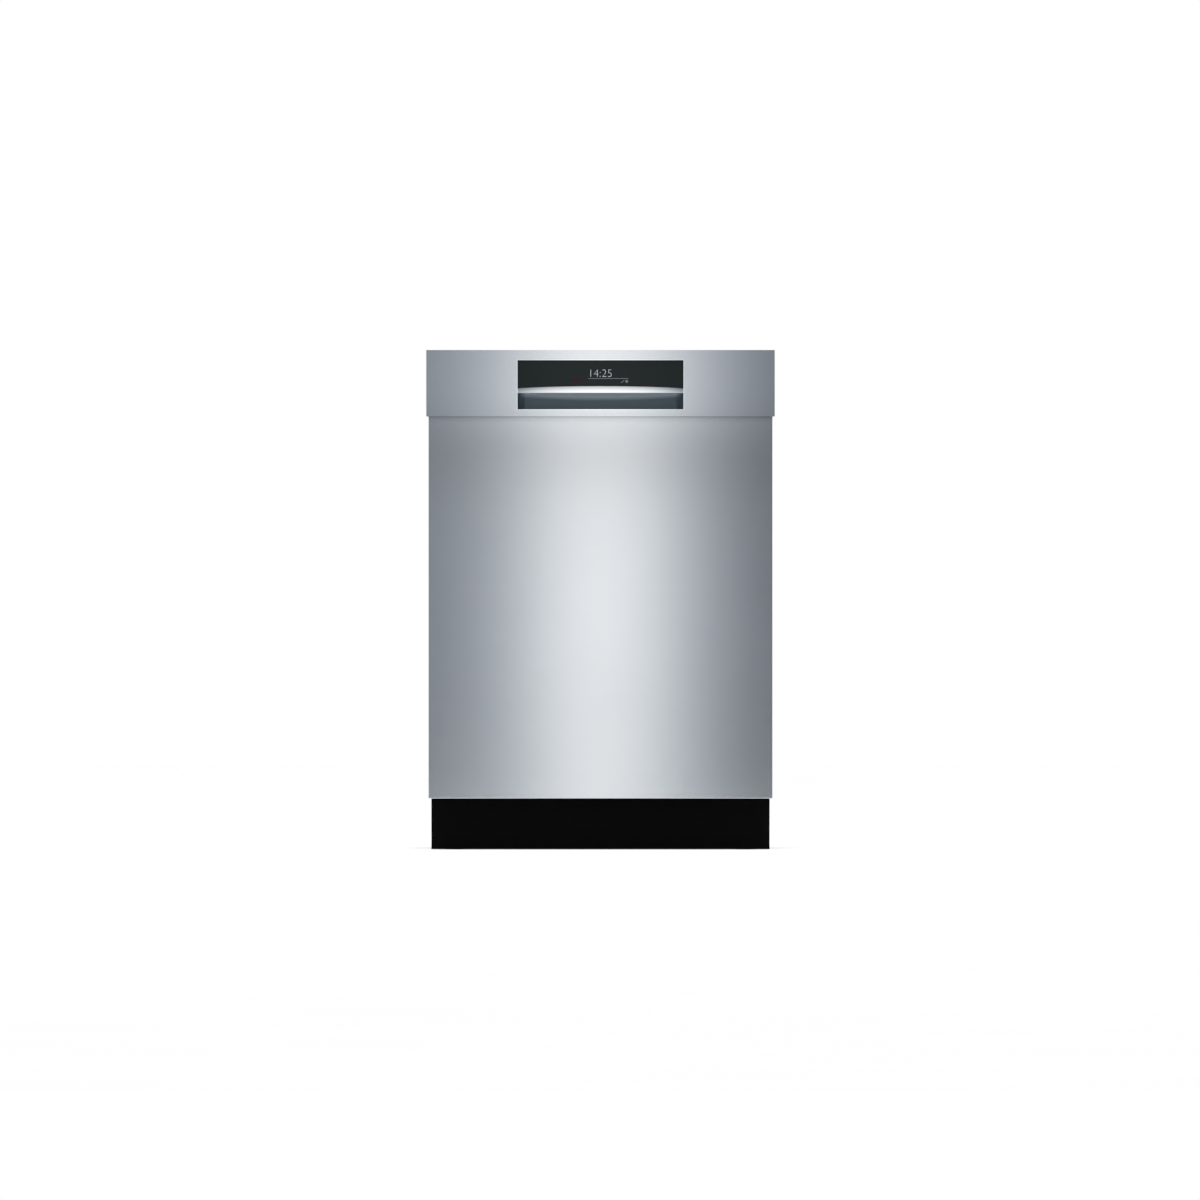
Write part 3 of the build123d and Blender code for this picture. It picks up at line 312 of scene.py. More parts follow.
STRIP_HALF = 0.1427
STRIP_BOTTOM = 0.786
POCKET_PAINTED_BAND_TOP = 0.785
POCKET_PAINTED_BAND_DROP = 0.0055
HORIZONTAL_GRAIN = (4, 4, 1400)
VERTICAL_GRAIN = (900, 900, 5)
looks = {
    "stainless": brushed_metal("stainless", colour=(0.60, 0.618, 0.635), roughness=0.2,
                               grain=HORIZONTAL_GRAIN, contrast=0.035, shade=0.75),
    "inner_steel": brushed_metal("inner_steel", colour=(0.62, 0.63, 0.64), roughness=0.3,
                                 grain=VERTICAL_GRAIN, contrast=0.03),
    "galvanised": zinc_metal("galvanised", colour=(0.55, 0.57, 0.58)),
    "bright_trim": polished_metal("bright_trim", colour=(0.72, 0.735, 0.75), roughness=0.12),
    "dark_glass": moulded("dark_glass", colour=(0.0165, 0.0235, 0.0235), roughness=0.12, grain_scale=40.0,
                          specular=0.1),
    "dark_grey_plastic": pocket_plastic("dark_grey_plastic", shade=(0.2, 0.265, 0.3),
                                        light=(0.74, 0.82, 0.87), painted_band_top=POCKET_PAINTED_BAND_TOP,
                                        painted_band_drop=POCKET_PAINTED_BAND_DROP, half_width=STRIP_HALF),
    "black_paint": moulded("black_paint", colour=(0.003, 0.0028, 0.0028), roughness=0.6, grain_scale=900.0,
                           specular=0.05),
    "black_plastic": moulded("black_plastic", colour=(0.03, 0.03, 0.032), roughness=0.5, grain_scale=1200.0),
    "grey_metal": moulded("grey_metal", colour=(0.45, 0.46, 0.47), roughness=0.4, grain_scale=900.0),
    "grey_plastic": moulded("grey_plastic", colour=(0.55, 0.57, 0.59), roughness=0.38, grain_scale=1500.0),
    "filter_steel": perforated_metal("filter_steel", colour=(0.6, 0.61, 0.62), hole_pitch=0.0022),
    "gasket_rubber": moulded("gasket_rubber", colour=(0.16, 0.16, 0.165), roughness=0.7, grain_scale=700.0,
                             specular=0.3),
    "felt": felt("felt", colour=(0.2, 0.19, 0.18)),
    "coated_wire": moulded("coated_wire", colour=(0.5, 0.52, 0.54), roughness=0.35, grain_scale=1500.0),
}
slot_of = {entry["node"]: entry["material_slot"] for entry in frame["record"]["subparts"]}
for node_name, node_object in nodes.items():
    mesh = node_object.data
    if not mesh.materials:
        mesh.materials.append(None)
    for index in range(len(mesh.materials)):
        mesh.materials[index] = looks[slot_of[node_name]]

SHARP_ANGLE = radians(40)


def make_piece(name, shape, body, look, replaced=()):
    """Turn a finished shape into a piece that moves with a body."""
    bmesh.ops.recalc_face_normals(shape, faces=shape.faces)
    mesh = bpy.data.meshes.new(name)
    shape.to_mesh(mesh)
    shape.free()
    mesh.materials.append(look)
    mesh.shade_smooth()
    mesh.set_sharp_from_angle(angle=SHARP_ANGLE)
    piece = bpy.data.objects.new(name, mesh)
    bpy.context.collection.objects.link(piece)
    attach(piece, body)
    if replaced:
        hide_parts(*replaced)
    return piece


def bent_path(corners, bend, steps=5):
    """Points along a path whose corners are bent smoothly."""
    points = [corners[0]]
    for before, corner, after in zip(corners, corners[1:], corners[2:]):
        start = corner + (before - corner).normalized() * bend
        end = corner + (after - corner).normalized() * bend
        for step in range(steps + 1):
            share = step / steps
            points.append(start * (1 - share) ** 2 + corner * 2 * share * (1 - share) + end * share ** 2)
    points.append(corners[-1])
    return points


def bent_ring(corners, bend):
    """Points round a closed path with bent corners."""
    middle = (corners[0] + corners[-1]) / 2
    return bent_path([middle, *corners, middle], bend)[:-1]


def add_wire(shape, points, radius, closed=False, sides=8):
    """A round wire along a path."""
    side_axis = None
    rings = []
    count = len(points)
    for index, point in enumerate(points):
        before = points[index - 1] if index or closed else point
        after = points[(index + 1) % count] if closed or index + 1 < count else point
        along = (after - before).normalized()
        start_axis = side_axis or along.orthogonal()
        side_axis = (start_axis - along * start_axis.dot(along)).normalized()
        other_axis = along.cross(side_axis)
        rings.append([shape.verts.new(point + (side_axis * cos(turn) + other_axis * sin(turn)) * radius)
                      for turn in (2 * pi * side / sides for side in range(sides))])
    joints = list(zip(rings, rings[1:]))
    if closed:
        joints.append((rings[-1], rings[0]))
    else:
        shape.faces.new(rings[0])
        shape.faces.new(rings[-1])
    for first, second in joints:
        for side in range(sides):
            following = (side + 1) % sides
            shape.faces.new((first[side], first[following], second[following], second[side]))


def add_block(shape, low, high, round_edge):
    """A block between two corners with rounded edges."""
    low, high = Vector(low), Vector(high)
    place = Matrix.Translation((low + high) / 2) @ Matrix.Diagonal((*(high - low), 1))
    made = bmesh.ops.create_cube(shape, size=1.0, matrix=place)
    edges = list(dict.fromkeys(edge for vertex in made["verts"] for edge in vertex.link_edges))
    bmesh.ops.bevel(shape, geom=edges, offset=round_edge, segments=2, affect="EDGES", profile=0.7)


def add_solid(shape, first, second):
    """A closed body between two sheets of points with the same rows and columns."""
    rows, columns = len(first), len(first[0])
    near, far = ([[shape.verts.new(point) for point in row] for row in sheet] for sheet in (first, second))
    for row in range(rows - 1):
        for column in range(columns - 1):
            for sheet in (near, far):
                shape.faces.new((sheet[row][column], sheet[row][column + 1], sheet[row + 1][column + 1],
                                 sheet[row + 1][column]))
    rim = [(0, column) for column in range(columns)] + [(row, columns - 1) for row in range(1, rows)]
    rim += [(rows - 1, column) for column in range(columns - 2, -1, -1)]
    rim += [(row, 0) for row in range(rows - 2, 0, -1)]
    for here, there in zip(rim, rim[1:] + rim[:1]):
        shape.faces.new((near[here[0]][here[1]], near[there[0]][there[1]], far[there[0]][there[1]],
                         far[here[0]][here[1]]))


def spread(start, end, count):
    """Evenly spaced values from start to end."""
    return [start + (end - start) * index / (count - 1) for index in range(count)]


# Racks: bent round wires in place of the plain nets
WIRE = 0.0014
RIM_WIRE = 0.002
WIRE_PITCH = 0.031
WALL_BEND = 0.014
RING_BEND = 0.02
WIRE_MARGIN = 0.02
LAYER_STEP = 0.0012


def add_basket(shape, low, high, rings):
    """Wires bent up at both ends, one layer across and one along, with rings round the walls."""
    low, high = Vector(low), Vector(high)
    top = high.z - RIM_WIRE
    floor = low.z + WIRE
    for y in spread(low.y + WIRE_MARGIN, high.y - WIRE_MARGIN, round((high.y - low.y) / WIRE_PITCH)):
        corners = [Vector((low.x + WIRE, y, top)), Vector((low.x + WIRE, y, floor)),
                   Vector((high.x - WIRE, y, floor)), Vector((high.x - WIRE, y, top))]
        add_wire(shape, bent_path(corners, WALL_BEND), WIRE)
    floor += LAYER_STEP
    for x in spread(low.x + WIRE_MARGIN, high.x - WIRE_MARGIN, round((high.x - low.x) / WIRE_PITCH)):
        corners = [Vector((x, low.y + WIRE, top)), Vector((x, low.y + WIRE, floor)),
                   Vector((x, high.y - WIRE, floor)), Vector((x, high.y - WIRE, top))]
        add_wire(shape, bent_path(corners, WALL_BEND), WIRE)
    left, right = low.x + RIM_WIRE, high.x - RIM_WIRE
    front, rear = low.y + RIM_WIRE, high.y - RIM_WIRE
    for height in (top, *rings):
        corners = [Vector((left, front, height)), Vector((right, front, height)),
                   Vector((right, rear, height)), Vector((left, rear, height))]
        add_wire(shape, bent_ring(corners, RING_BEND), RIM_WIRE, closed=True)


WHEEL_PLACES = (-0.11, 0.15)
WHEEL_HEIGHT = 0.1623
WHEEL_PLATE_X = (0.2402, 0.244)
WHEEL_PLATE_HALF = 0.009
WHEEL_PLATE_TOP = 0.212
WHEEL_PIN_X = (0.2435, 0.259)
WHEEL_PIN_RADIUS = 0.004
BLOCK_ROUND = 0.001
RACK_REAR = 0.235
LOWER_LOW = (-0.24, -0.212, 0.182)
LOWER_HIGH = (0.24, RACK_REAR, 0.32)
LOWER_RING = 0.251
lower_wires = bmesh.new()
add_basket(lower_wires, LOWER_LOW, LOWER_HIGH, [LOWER_RING])
for side in (-1, 1):
    plate_x = sorted(side * x for x in WHEEL_PLATE_X)
    for wheel_y in WHEEL_PLACES:
        add_block(lower_wires, (plate_x[0], wheel_y - WHEEL_PLATE_HALF, WHEEL_HEIGHT - WHEEL_PLATE_HALF),
                  (plate_x[1], wheel_y + WHEEL_PLATE_HALF, WHEEL_PLATE_TOP), BLOCK_ROUND)
        pin = [Vector((side * x, wheel_y, WHEEL_HEIGHT)) for x in WHEEL_PIN_X]
        add_wire(lower_wires, pin, WHEEL_PIN_RADIUS, sides=24)
make_piece("lower_rack_wires", lower_wires, "rack_low", looks["coated_wire"], ["lower_rack"])

BAR_HALF_LENGTH = 0.15


def add_side_bars(shape, x_span, heights, round_edge):
    """A pair of bars along both sides of a rack."""
    for side in (-1, 1):
        bar_x = sorted(side * x for x in x_span)
        add_block(shape, (bar_x[0], -BAR_HALF_LENGTH, heights[0]), (bar_x[1], BAR_HALF_LENGTH, heights[1]),
                  round_edge)


UPPER_LOW = (-0.235, -0.205, 0.47)
UPPER_HIGH = (0.235, RACK_REAR, 0.6)
UPPER_RING = 0.535
SIDE_BAR_X = (0.2352, 0.2552)
SIDE_BAR_HEIGHTS = (0.54, 0.56)
TONGUE_X = (0.255, 0.2582)
TONGUE_HEIGHTS = (0.547, 0.553)
DUCT_LOW = (-0.012, 0.004, 0.4585)
DUCT_HIGH = (0.012, RACK_REAR, 0.4698)
DUCT_ROUND = 0.0015
AXLE_HEIGHTS = (0.4405, 0.46)
AXLE_RADIUS = 0.006
RETAINER_HEIGHTS = (0.4385, 0.4415)
RETAINER_RADIUS = 0.01
upper_wires = bmesh.new()
add_basket(upper_wires, UPPER_LOW, UPPER_HIGH, [UPPER_RING])
add_side_bars(upper_wires, SIDE_BAR_X, SIDE_BAR_HEIGHTS, BLOCK_ROUND)
add_side_bars(upper_wires, TONGUE_X, TONGUE_HEIGHTS, BLOCK_ROUND)
add_block(upper_wires, DUCT_LOW, DUCT_HIGH, DUCT_ROUND)
for heights, radius in ((AXLE_HEIGHTS, AXLE_RADIUS), (RETAINER_HEIGHTS, RETAINER_RADIUS)):
    add_wire(upper_wires, [Vector((0, SPRAY_AXIS_Y, height)) for height in heights], radius, sides=28)
make_piece("upper_rack_wires", upper_wires, "rack_high", looks["coated_wire"], ["upper_rack"])

TRAY_LOW = (-0.245, -0.2, 0.7)
TRAY_HIGH = (0.245, RACK_REAR, 0.742)
RUNNER_X = (0.2452, 0.2515)
RUNNER_HEIGHTS = (0.716, 0.722)
RUNNER_ROUND = 0.0008
tray_wires = bmesh.new()
add_basket(tray_wires, TRAY_LOW, TRAY_HIGH, [])
add_side_bars(tray_wires, RUNNER_X, RUNNER_HEIGHTS, RUNNER_ROUND)
make_piece("cutlery_tray_wires", tray_wires, "tray", looks["coated_wire"], ["cutlery_tray"])

# Felt: quilted pads in place of the plain blocks
STITCH_PITCH = 0.105
STITCH_WIDTH = 0.007


def quilting(first, second):
    """How deep the stitching pulls a pad in at a place on its face, from 0 to 1."""
    distances = (abs((value / STITCH_PITCH) % 1.0 - 0.5) * STITCH_PITCH for value in (first, second))
    return max(exp(-(distance / STITCH_WIDTH) ** 2) for distance in distances)


BLANKET_Y = (-0.2148, 0.2618)
BLANKET_FOOT = 0.142
BLANKET_HALF = 0.2742
BLANKET_TOP = 0.8182
BLANKET_THICKNESS = 0.0146
BLANKET_PULL = 0.3
BLANKET_STEPS = (60, 50, 60)
BLANKET_COLUMNS = 42


def blanket_bow(half, top):
    """Corners of the blanket's bow: up one side, over the top and down the other."""
    return [Vector((-half, 0, BLANKET_FOOT)), Vector((-half, 0, top)), Vector((half, 0, top)),
            Vector((half, 0, BLANKET_FOOT))]


blanket_inner = blanket_bow(BLANKET_HALF, BLANKET_TOP)
blanket_outer = blanket_bow(BLANKET_HALF + BLANKET_THICKNESS, BLANKET_TOP + BLANKET_THICKNESS)
blanket_rows = ([], [])
reach = 0.0
for leg, steps in enumerate(BLANKET_STEPS):
    leg_length = (blanket_inner[leg + 1] - blanket_inner[leg]).length
    last_leg = leg == len(BLANKET_STEPS) - 1
    for step in range(steps + last_leg):
        share = step / steps
        inside = blanket_inner[leg].lerp(blanket_inner[leg + 1], share)
        outside = blanket_outer[leg].lerp(blanket_outer[leg + 1], share)
        inner_row = []
        outer_row = []
        for y in spread(*BLANKET_Y, BLANKET_COLUMNS):
            pull = BLANKET_PULL * quilting(reach + share * leg_length, y)
            inner_row.append(inside + Vector((0, y, 0)))
            outer_row.append(outside.lerp(inside, pull) + Vector((0, y, 0)))
        blanket_rows[0].append(inner_row)
        blanket_rows[1].append(outer_row)
    reach += leg_length
blanket_shape = bmesh.new()
add_solid(blanket_shape, *blanket_rows)
blanket = make_piece("sound_blanket_felt", blanket_shape, "cabinet", looks["felt"], ["sound_blanket"])

PAD_FRONT = -0.2938
PAD_BACK = -0.2402
PAD_HALF = 0.2838
PAD_HEIGHTS = (0.1402, 0.7348)
PAD_PULL = 0.004
PAD_LINES = 56
CUT_X = (-0.0732, 0.1032)
CUT_HEIGHTS = (0.3368, 0.4632)
CUT_BACK = -0.2712
CUT_WALL = 0.0006
CUT_CLEAR = 0.003


def pad_lines(start, end, cut_low, cut_high):
    """Grid lines of the pad, with a close pair at each wall of the dispenser's cut."""
    lines = spread(start, end, PAD_LINES)
    lines = [line for line in lines if min(abs(line - cut_low), abs(line - cut_high)) > CUT_CLEAR]
    walls = [cut_low, cut_low + CUT_WALL, cut_high - CUT_WALL, cut_high]
    return sorted(lines + walls)


pad_front = []
pad_back = []
for z in pad_lines(*PAD_HEIGHTS, *CUT_HEIGHTS):
    front_row = []
    back_row = []
    for x in pad_lines(-PAD_HALF, PAD_HALF, *CUT_X):
        in_cut = CUT_X[0] < x < CUT_X[1] and CUT_HEIGHTS[0] < z < CUT_HEIGHTS[1]
        pull = PAD_PULL * quilting(x, z)
        front_row.append(Vector((x, PAD_FRONT + pull, z)))
        back_row.append(Vector((x, CUT_BACK if in_cut else PAD_BACK - pull, z)))
    pad_front.append(front_row)
    pad_back.append(back_row)
pad_shape = bmesh.new()
add_solid(pad_shape, pad_front, pad_back)
pad = make_piece("door_insulation_felt", pad_shape, "door", looks["felt"], ["door_insulation"])

# Outer panels: level ribs pressed into the thin sheets
PANEL_SHEET = 0.0015
RIB_HALF = 0.011
RIB_CLEAR = 1.3 * RIB_HALF
RIB_DEPTH = 0.0019
RIB_MARGIN = 0.09
RIB_COUNT = 5
RIB_STEPS = 13
PLAIN_STEPS = 16


def rib_lines(start, end, ribs):
    """Grid lines that lie close together on the ribs and wide apart elsewhere."""
    plain = spread(start, end, PLAIN_STEPS)
    lines = [line for line in plain if all(abs(line - rib) > RIB_CLEAR for rib in ribs)]
    lines += [rib + share * RIB_HALF for rib in ribs for share in spread(-1, 1, RIB_STEPS)]
    return sorted(lines)


def ribbed_panel(node, axis, outward):
    """A sheet whose outer face points along one axis, with rounded ends to its ribs."""
    low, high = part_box(node)
    face = high[axis] if outward > 0 else low[axis]
    start, end = low[1 - axis], high[1 - axis]
    rib_ends = (start + RIB_MARGIN, end - RIB_MARGIN)
    rib_heights = spread(low.z + RIB_MARGIN, high.z - RIB_MARGIN, RIB_COUNT)
    outer_sheet = []
    inner_sheet = []
    for z in rib_lines(low.z, high.z, rib_heights):
        rows = ([], [])
        for across in rib_lines(start, end, rib_ends):
            past_end = max(0.0, rib_ends[0] - across, across - rib_ends[1])
            share = max(0.0, 1 - min(hypot(past_end, z - rib) for rib in rib_heights) / RIB_HALF)
            depth = RIB_DEPTH * share ** 2 * (3 - 2 * share)
            for row, inset in zip(rows, (depth, depth + PANEL_SHEET)):
                point = Vector((0, 0, z))
                point[axis] = face - outward * inset
                point[1 - axis] = across
                row.append(point)
        outer_sheet.append(rows[0])
        inner_sheet.append(rows[1])
    shape = bmesh.new()
    add_solid(shape, outer_sheet, inner_sheet)
    make_piece(node + "_ribbed", shape, "cabinet", looks[slot_of[node]], [node])


ribbed_panel("side_panel_left", 0, -1)
ribbed_panel("side_panel_right", 0, 1)
ribbed_panel("rear_panel", 1, 1)


def add_bead(shape, face, x_span, heights, bend, half, rise):
    """A closed bead of flat oval section round a field on a face that looks along Y."""
    made_before = len(shape.verts)
    left, right = x_span
    low, high = heights
    corners = [Vector((x, face, z)) for x, z in ((left, low), (right, low), (right, high), (left, high))]
    add_wire(shape, bent_ring(corners, bend), half, closed=True, sides=16)
    shape.verts.ensure_lookup_table()
    for vertex in shape.verts[made_before:]:
        vertex.co.y = face + (vertex.co.y - face) * rise / half


# Door liner: a low bead pressed round the field that faces the tub
BEAD_X = (-0.245, 0.245)
BEAD_HEIGHTS = (0.185, 0.785)
BEAD_BEND = 0.04
BEAD_HALF = 0.006
BEAD_RISE = 0.0014
liner_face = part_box("door_inner_liner")[1].y
bead_shape = bmesh.new()
add_bead(bead_shape, liner_face, BEAD_X, BEAD_HEIGHTS, BEAD_BEND, BEAD_HALF, BEAD_RISE)
make_piece("door_liner_bead", bead_shape, "door", looks["inner_steel"])

# Dispenser lid: a flap on two pins, with a raised frame, a ribbed thumb grip and a seal for the cup's mouth
LID_ROUND = 0.0012
LID_PIN_REACH = 0.005
LID_PIN_RADIUS = 0.0011
LID_PIN_ROOT = 0.003
FRAME_INSET = 0.0075
FRAME_BEND = 0.005
FRAME_HALF = 0.0016
FRAME_RISE = 0.0006
GRIP_RIBS = 5
GRIP_DROP = (0.014, 0.027)
GRIP_HALF = 0.014
GRIP_RADIUS = 0.0007
SEAL_INSET = 0.0032
SEAL_FOOT = 0.0112
SEAL_HEAD = 0.0072
SEAL_BEND = 0.006
SEAL_HALF = 0.0014
SEAL_RISE = 0.0012
STAY_COUNT = 4
STAY_INSET = 0.018
STAY_RADIUS = 0.0006
lid_low, lid_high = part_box("dispenser_lid")
lid_left, lid_right = lid_low.x + LID_PIN_REACH, lid_high.x - LID_PIN_REACH
lid_middle_x = (lid_left + lid_right) / 2
lid_axis_y = (lid_low.y + lid_high.y) / 2
lid_axis_z = lid_low.z + lid_high.y - lid_axis_y
lid_shape = bmesh.new()
add_block(lid_shape, (lid_left, lid_low.y, lid_low.z), (lid_right, lid_high.y, lid_high.z), LID_ROUND)
for pin_x in ((lid_low.x, lid_left + LID_PIN_ROOT), (lid_right - LID_PIN_ROOT, lid_high.x)):
    add_wire(lid_shape, [Vector((x, lid_axis_y, lid_axis_z)) for x in pin_x], LID_PIN_RADIUS, sides=16)
add_bead(lid_shape, lid_high.y, (lid_left + FRAME_INSET, lid_right - FRAME_INSET),
         (lid_low.z + FRAME_INSET, lid_high.z - FRAME_INSET), FRAME_BEND, FRAME_HALF, FRAME_RISE)
for drop in spread(*GRIP_DROP, GRIP_RIBS):
    grip_ends = [Vector((lid_middle_x + side * GRIP_HALF, lid_high.y, lid_high.z - drop)) for side in (-1, 1)]
    add_wire(lid_shape, grip_ends, GRIP_RADIUS)
seal_heights = (lid_low.z + SEAL_FOOT, lid_high.z - SEAL_HEAD)
add_bead(lid_shape, lid_low.y, (lid_left + SEAL_INSET, lid_right - SEAL_INSET), seal_heights,
         SEAL_BEND, SEAL_HALF, SEAL_RISE)
for x in spread(lid_left + STAY_INSET, lid_right - STAY_INSET, STAY_COUNT):
    add_wire(lid_shape, [Vector((x, lid_low.y, z)) for z in seal_heights], STAY_RADIUS)
make_piece("dispenser_lid_flap", lid_shape, "lid", looks["grey_plastic"],
           ["dispenser_lid"])

# Spray arms: pressed arms with a bored hub and slanted nozzles
ARM_HALF_WIDTH = 0.021
HUB_RADIUS = 0.018
BORE_RADIUS = 0.00605
HUB_RISE = 0.0018
HUB_DROP = 0.0015
HUB_CHAMFER = 0.001
HUB_CLEAR = 0.012
ARM_STEPS = 61
ARM_COLUMNS = 13
ARM_TAPER = 0.25
ARM_TIP_SHARE = 0.001
ARM_END_CROWN = 0.35
ARM_EDGE = 0.12
NOZZLE_SHARES = (-0.9, -0.68, -0.46, -0.24, 0.32, 0.54, 0.76, 0.93)
NOZZLE_END_GAP = 0.012
NOZZLE_LEAN = (0.2, 0.25, 1)
NOZZLE_SINK = 0.0006
COLLAR_REACHES = (-0.003, 0.0008, 0.0016)
COLLAR_RADIUS = 0.0034
TIP_REACHES = (0.0016, 0.0022)
TIP_RADIUS = 0.0019


def add_ring_body(shape, x, y, profile, sides=36):
    """A turned body round a bore; the profile lists radius and height, and closes on itself."""
    rings = [[shape.verts.new((x + radius * cos(turn), y + radius * sin(turn), height))
              for turn in (2 * pi * side / sides for side in range(sides))] for radius, height in profile]
    for first, second in zip(rings, rings[1:] + rings[:1]):
        for side in range(sides):
            following = (side + 1) % sides
            shape.faces.new((first[side], first[following], second[following], second[side]))


def spray_arm(name, node, body, half_length, bottom, top):
    """A lens-shaped arm that narrows to its rounded ends."""
    shape = bmesh.new()
    low_rows = []
    high_rows = []
    middle = (bottom + top) / 2
    shares = spread(-1, 1, ARM_STEPS)
    for share in shares:
        along = share * half_length
        end_gap = half_length - abs(along)
        rounding = 1.0 if end_gap > ARM_HALF_WIDTH else hypot(
            ARM_TIP_SHARE, (1 - (1 - end_gap / ARM_HALF_WIDTH) ** 2) ** 0.5)
        half_width = ARM_HALF_WIDTH * (1 - ARM_TAPER * abs(share)) * rounding
        crown = (top - bottom) / 2 * (ARM_END_CROWN + (1 - ARM_END_CROWN) * rounding)
        low_row = []
        high_row = []
        for across in spread(-1, 1, ARM_COLUMNS):
            bulge = crown * (ARM_EDGE + (1 - ARM_EDGE) * (1 - across ** 4) ** 0.5)
            low_row.append(Vector((along, SPRAY_AXIS_Y + across * half_width, middle - bulge)))
            high_row.append(Vector((along, SPRAY_AXIS_Y + across * half_width, middle + bulge)))
        low_rows.append(low_row)
        high_rows.append(high_row)
    split = [index for index, share in enumerate(shares) if abs(share) * half_length < HUB_CLEAR]
    for part in (slice(0, split[0] + 1), slice(split[-1], None)):
        add_solid(shape, low_rows[part], high_rows[part])
    hub_low = bottom - HUB_DROP
    hub_high = top + HUB_RISE
    hub_profile = ((BORE_RADIUS, hub_low), (HUB_RADIUS, hub_low), (HUB_RADIUS, hub_high - HUB_CHAMFER),
                   (HUB_RADIUS - HUB_CHAMFER, hub_high), (BORE_RADIUS, hub_high))
    add_ring_body(shape, 0, SPRAY_AXIS_Y, hub_profile)
    for share in NOZZLE_SHARES:
        nozzle = Vector((share * (half_length - NOZZLE_END_GAP), SPRAY_AXIS_Y, top - NOZZLE_SINK))
        lean_x, lean_y, lean_z = NOZZLE_LEAN
        lean = Vector((lean_x if share > 0 else -lean_x, lean_y, lean_z)).normalized()
        add_wire(shape, [nozzle + lean * out for out in COLLAR_REACHES], COLLAR_RADIUS, sides=16)
        add_wire(shape, [nozzle + lean * out for out in TIP_REACHES], TIP_RADIUS, sides=12)
    make_piece(name, shape, body, looks["grey_plastic"], [node])


spray_arm("lower_spray_arm_shell", "lower_spray_arm", "arm_low", half_length=0.2148, bottom=0.16, top=0.172)
spray_arm("upper_spray_arm_shell", "upper_spray_arm", "arm_high", half_length=0.1998, bottom=0.444, top=0.456)

# Grip strip: its face leans back towards the arched top and its ends, so that it darkens there
STRIP_END_HEIGHT = 0.0102
STRIP_ARCH = 0.0036
STRIP_DEPTH = 0.011
STRIP_LEAN = radians(27)
STRIP_ROUND = 0.0009
STRIP_BOW = 0.0013
STRIP_COLUMNS = 81
STRIP_STEPS = 24
strip_plane = front_y + GLASS_RECESS
strip_face = []
strip_back = []
for share in spread(-1, 1, STRIP_COLUMNS):
    x = share * STRIP_HALF
    strip_front = strip_plane + STRIP_BOW * share ** 6
    strip_height = STRIP_END_HEIGHT + STRIP_ARCH * (1 - share ** 2) - STRIP_ROUND
    face_row = [Vector((x, strip_front + STRIP_ROUND * (1 - sin(turn)),
                        STRIP_BOTTOM + STRIP_ROUND * (1 - cos(turn)))) for turn in spread(0, pi / 2, 5)]
    depth = 0.0
    for step in range(1, STRIP_STEPS + 1):
        depth += strip_height / STRIP_STEPS * sin(STRIP_LEAN * (step - 0.5) / STRIP_STEPS)
        height = STRIP_BOTTOM + STRIP_ROUND + strip_height * step / STRIP_STEPS
        face_row.append(Vector((x, strip_front + depth, height)))
    strip_face.append(face_row)
    strip_back.append([Vector((x, strip_plane + STRIP_DEPTH, point.z)) for point in face_row])
strip_shape = bmesh.new()
add_solid(strip_shape, strip_face, strip_back)
make_piece("grip_strip_lip", strip_shape, "door", looks["bright_trim"], ["grip_strip"])

# Display marks: time, line, two signs and a faint red mark, thin plates on the glass
GLASS_FACE = front_y + GLASS_RECESS
MARK_THICKNESS = 0.00012
white_glow = glow("display_white", colour=(0.54, 0.585, 0.6), strength=0.5)
dim_glow = glow("display_dim", colour=(0.17, 0.185, 0.19), strength=0.4)
red_glow = glow("display_red", colour=(0.055, 0.016, 0.024), strength=0.3)


def add_plate(shape, outline):
    """A thin plate on the glass from an outline in photo pixels."""
    face_points = [photo_point(*point) for point in outline]
    front = [shape.verts.new((x, GLASS_FACE - MARK_THICKNESS, z)) for x, z in face_points]
    back = [shape.verts.new((x, GLASS_FACE, z)) for x, z in face_points]
    shape.faces.new(front)
    shape.faces.new(back)
    for index in range(len(front)):
        following = (index + 1) % len(front)
        shape.faces.new((front[index], front[following], back[following], back[index]))


def pixel_disc(x, y, radius, sides=18):
    """Outline of a disc in photo pixels."""
    turns = [2 * pi * side / sides for side in range(sides)]
    return [(x + radius * cos(turn), y + radius * sin(turn)) for turn in turns]


def pixel_box(left, right, top, bottom):
    """Outline of a rectangle in photo pixels."""
    return [(left, top), (right, top), (right, bottom), (left, bottom)]


LINE_X = (588.3, 628.5)
LINE_Y = (378.2, 378.8)
SLANT_SIGN = [(621.1, 382.6), (623.9, 379.9), (624.3, 380.4), (621.6, 383.1)]
ROUND_SIGN = (626.7, 381.3, 1.5)
RED_SPANS = ((573.0, 576.4), (577.4, 579.4), (580.4, 582.5))
RED_Y = (378.4, 381.8)
DIGITS = "14:25"
DIGITS_X = (590.5, 611.6)
DIGITS_Y = (369.5, 377.0)
DIGITS_THINNING = -0.026
line_shape = bmesh.new()
add_plate(line_shape, pixel_box(*LINE_X, *LINE_Y))
make_piece("display_line", line_shape, "door", dim_glow)
sign_shape = bmesh.new()
add_plate(sign_shape, SLANT_SIGN)
add_plate(sign_shape, pixel_disc(*ROUND_SIGN))
make_piece("display_signs", sign_shape, "door", dim_glow)
red_shape = bmesh.new()
for red_span in RED_SPANS:
    add_plate(red_shape, pixel_box(*red_span, *RED_Y))
make_piece("display_red_mark", red_shape, "door", red_glow)

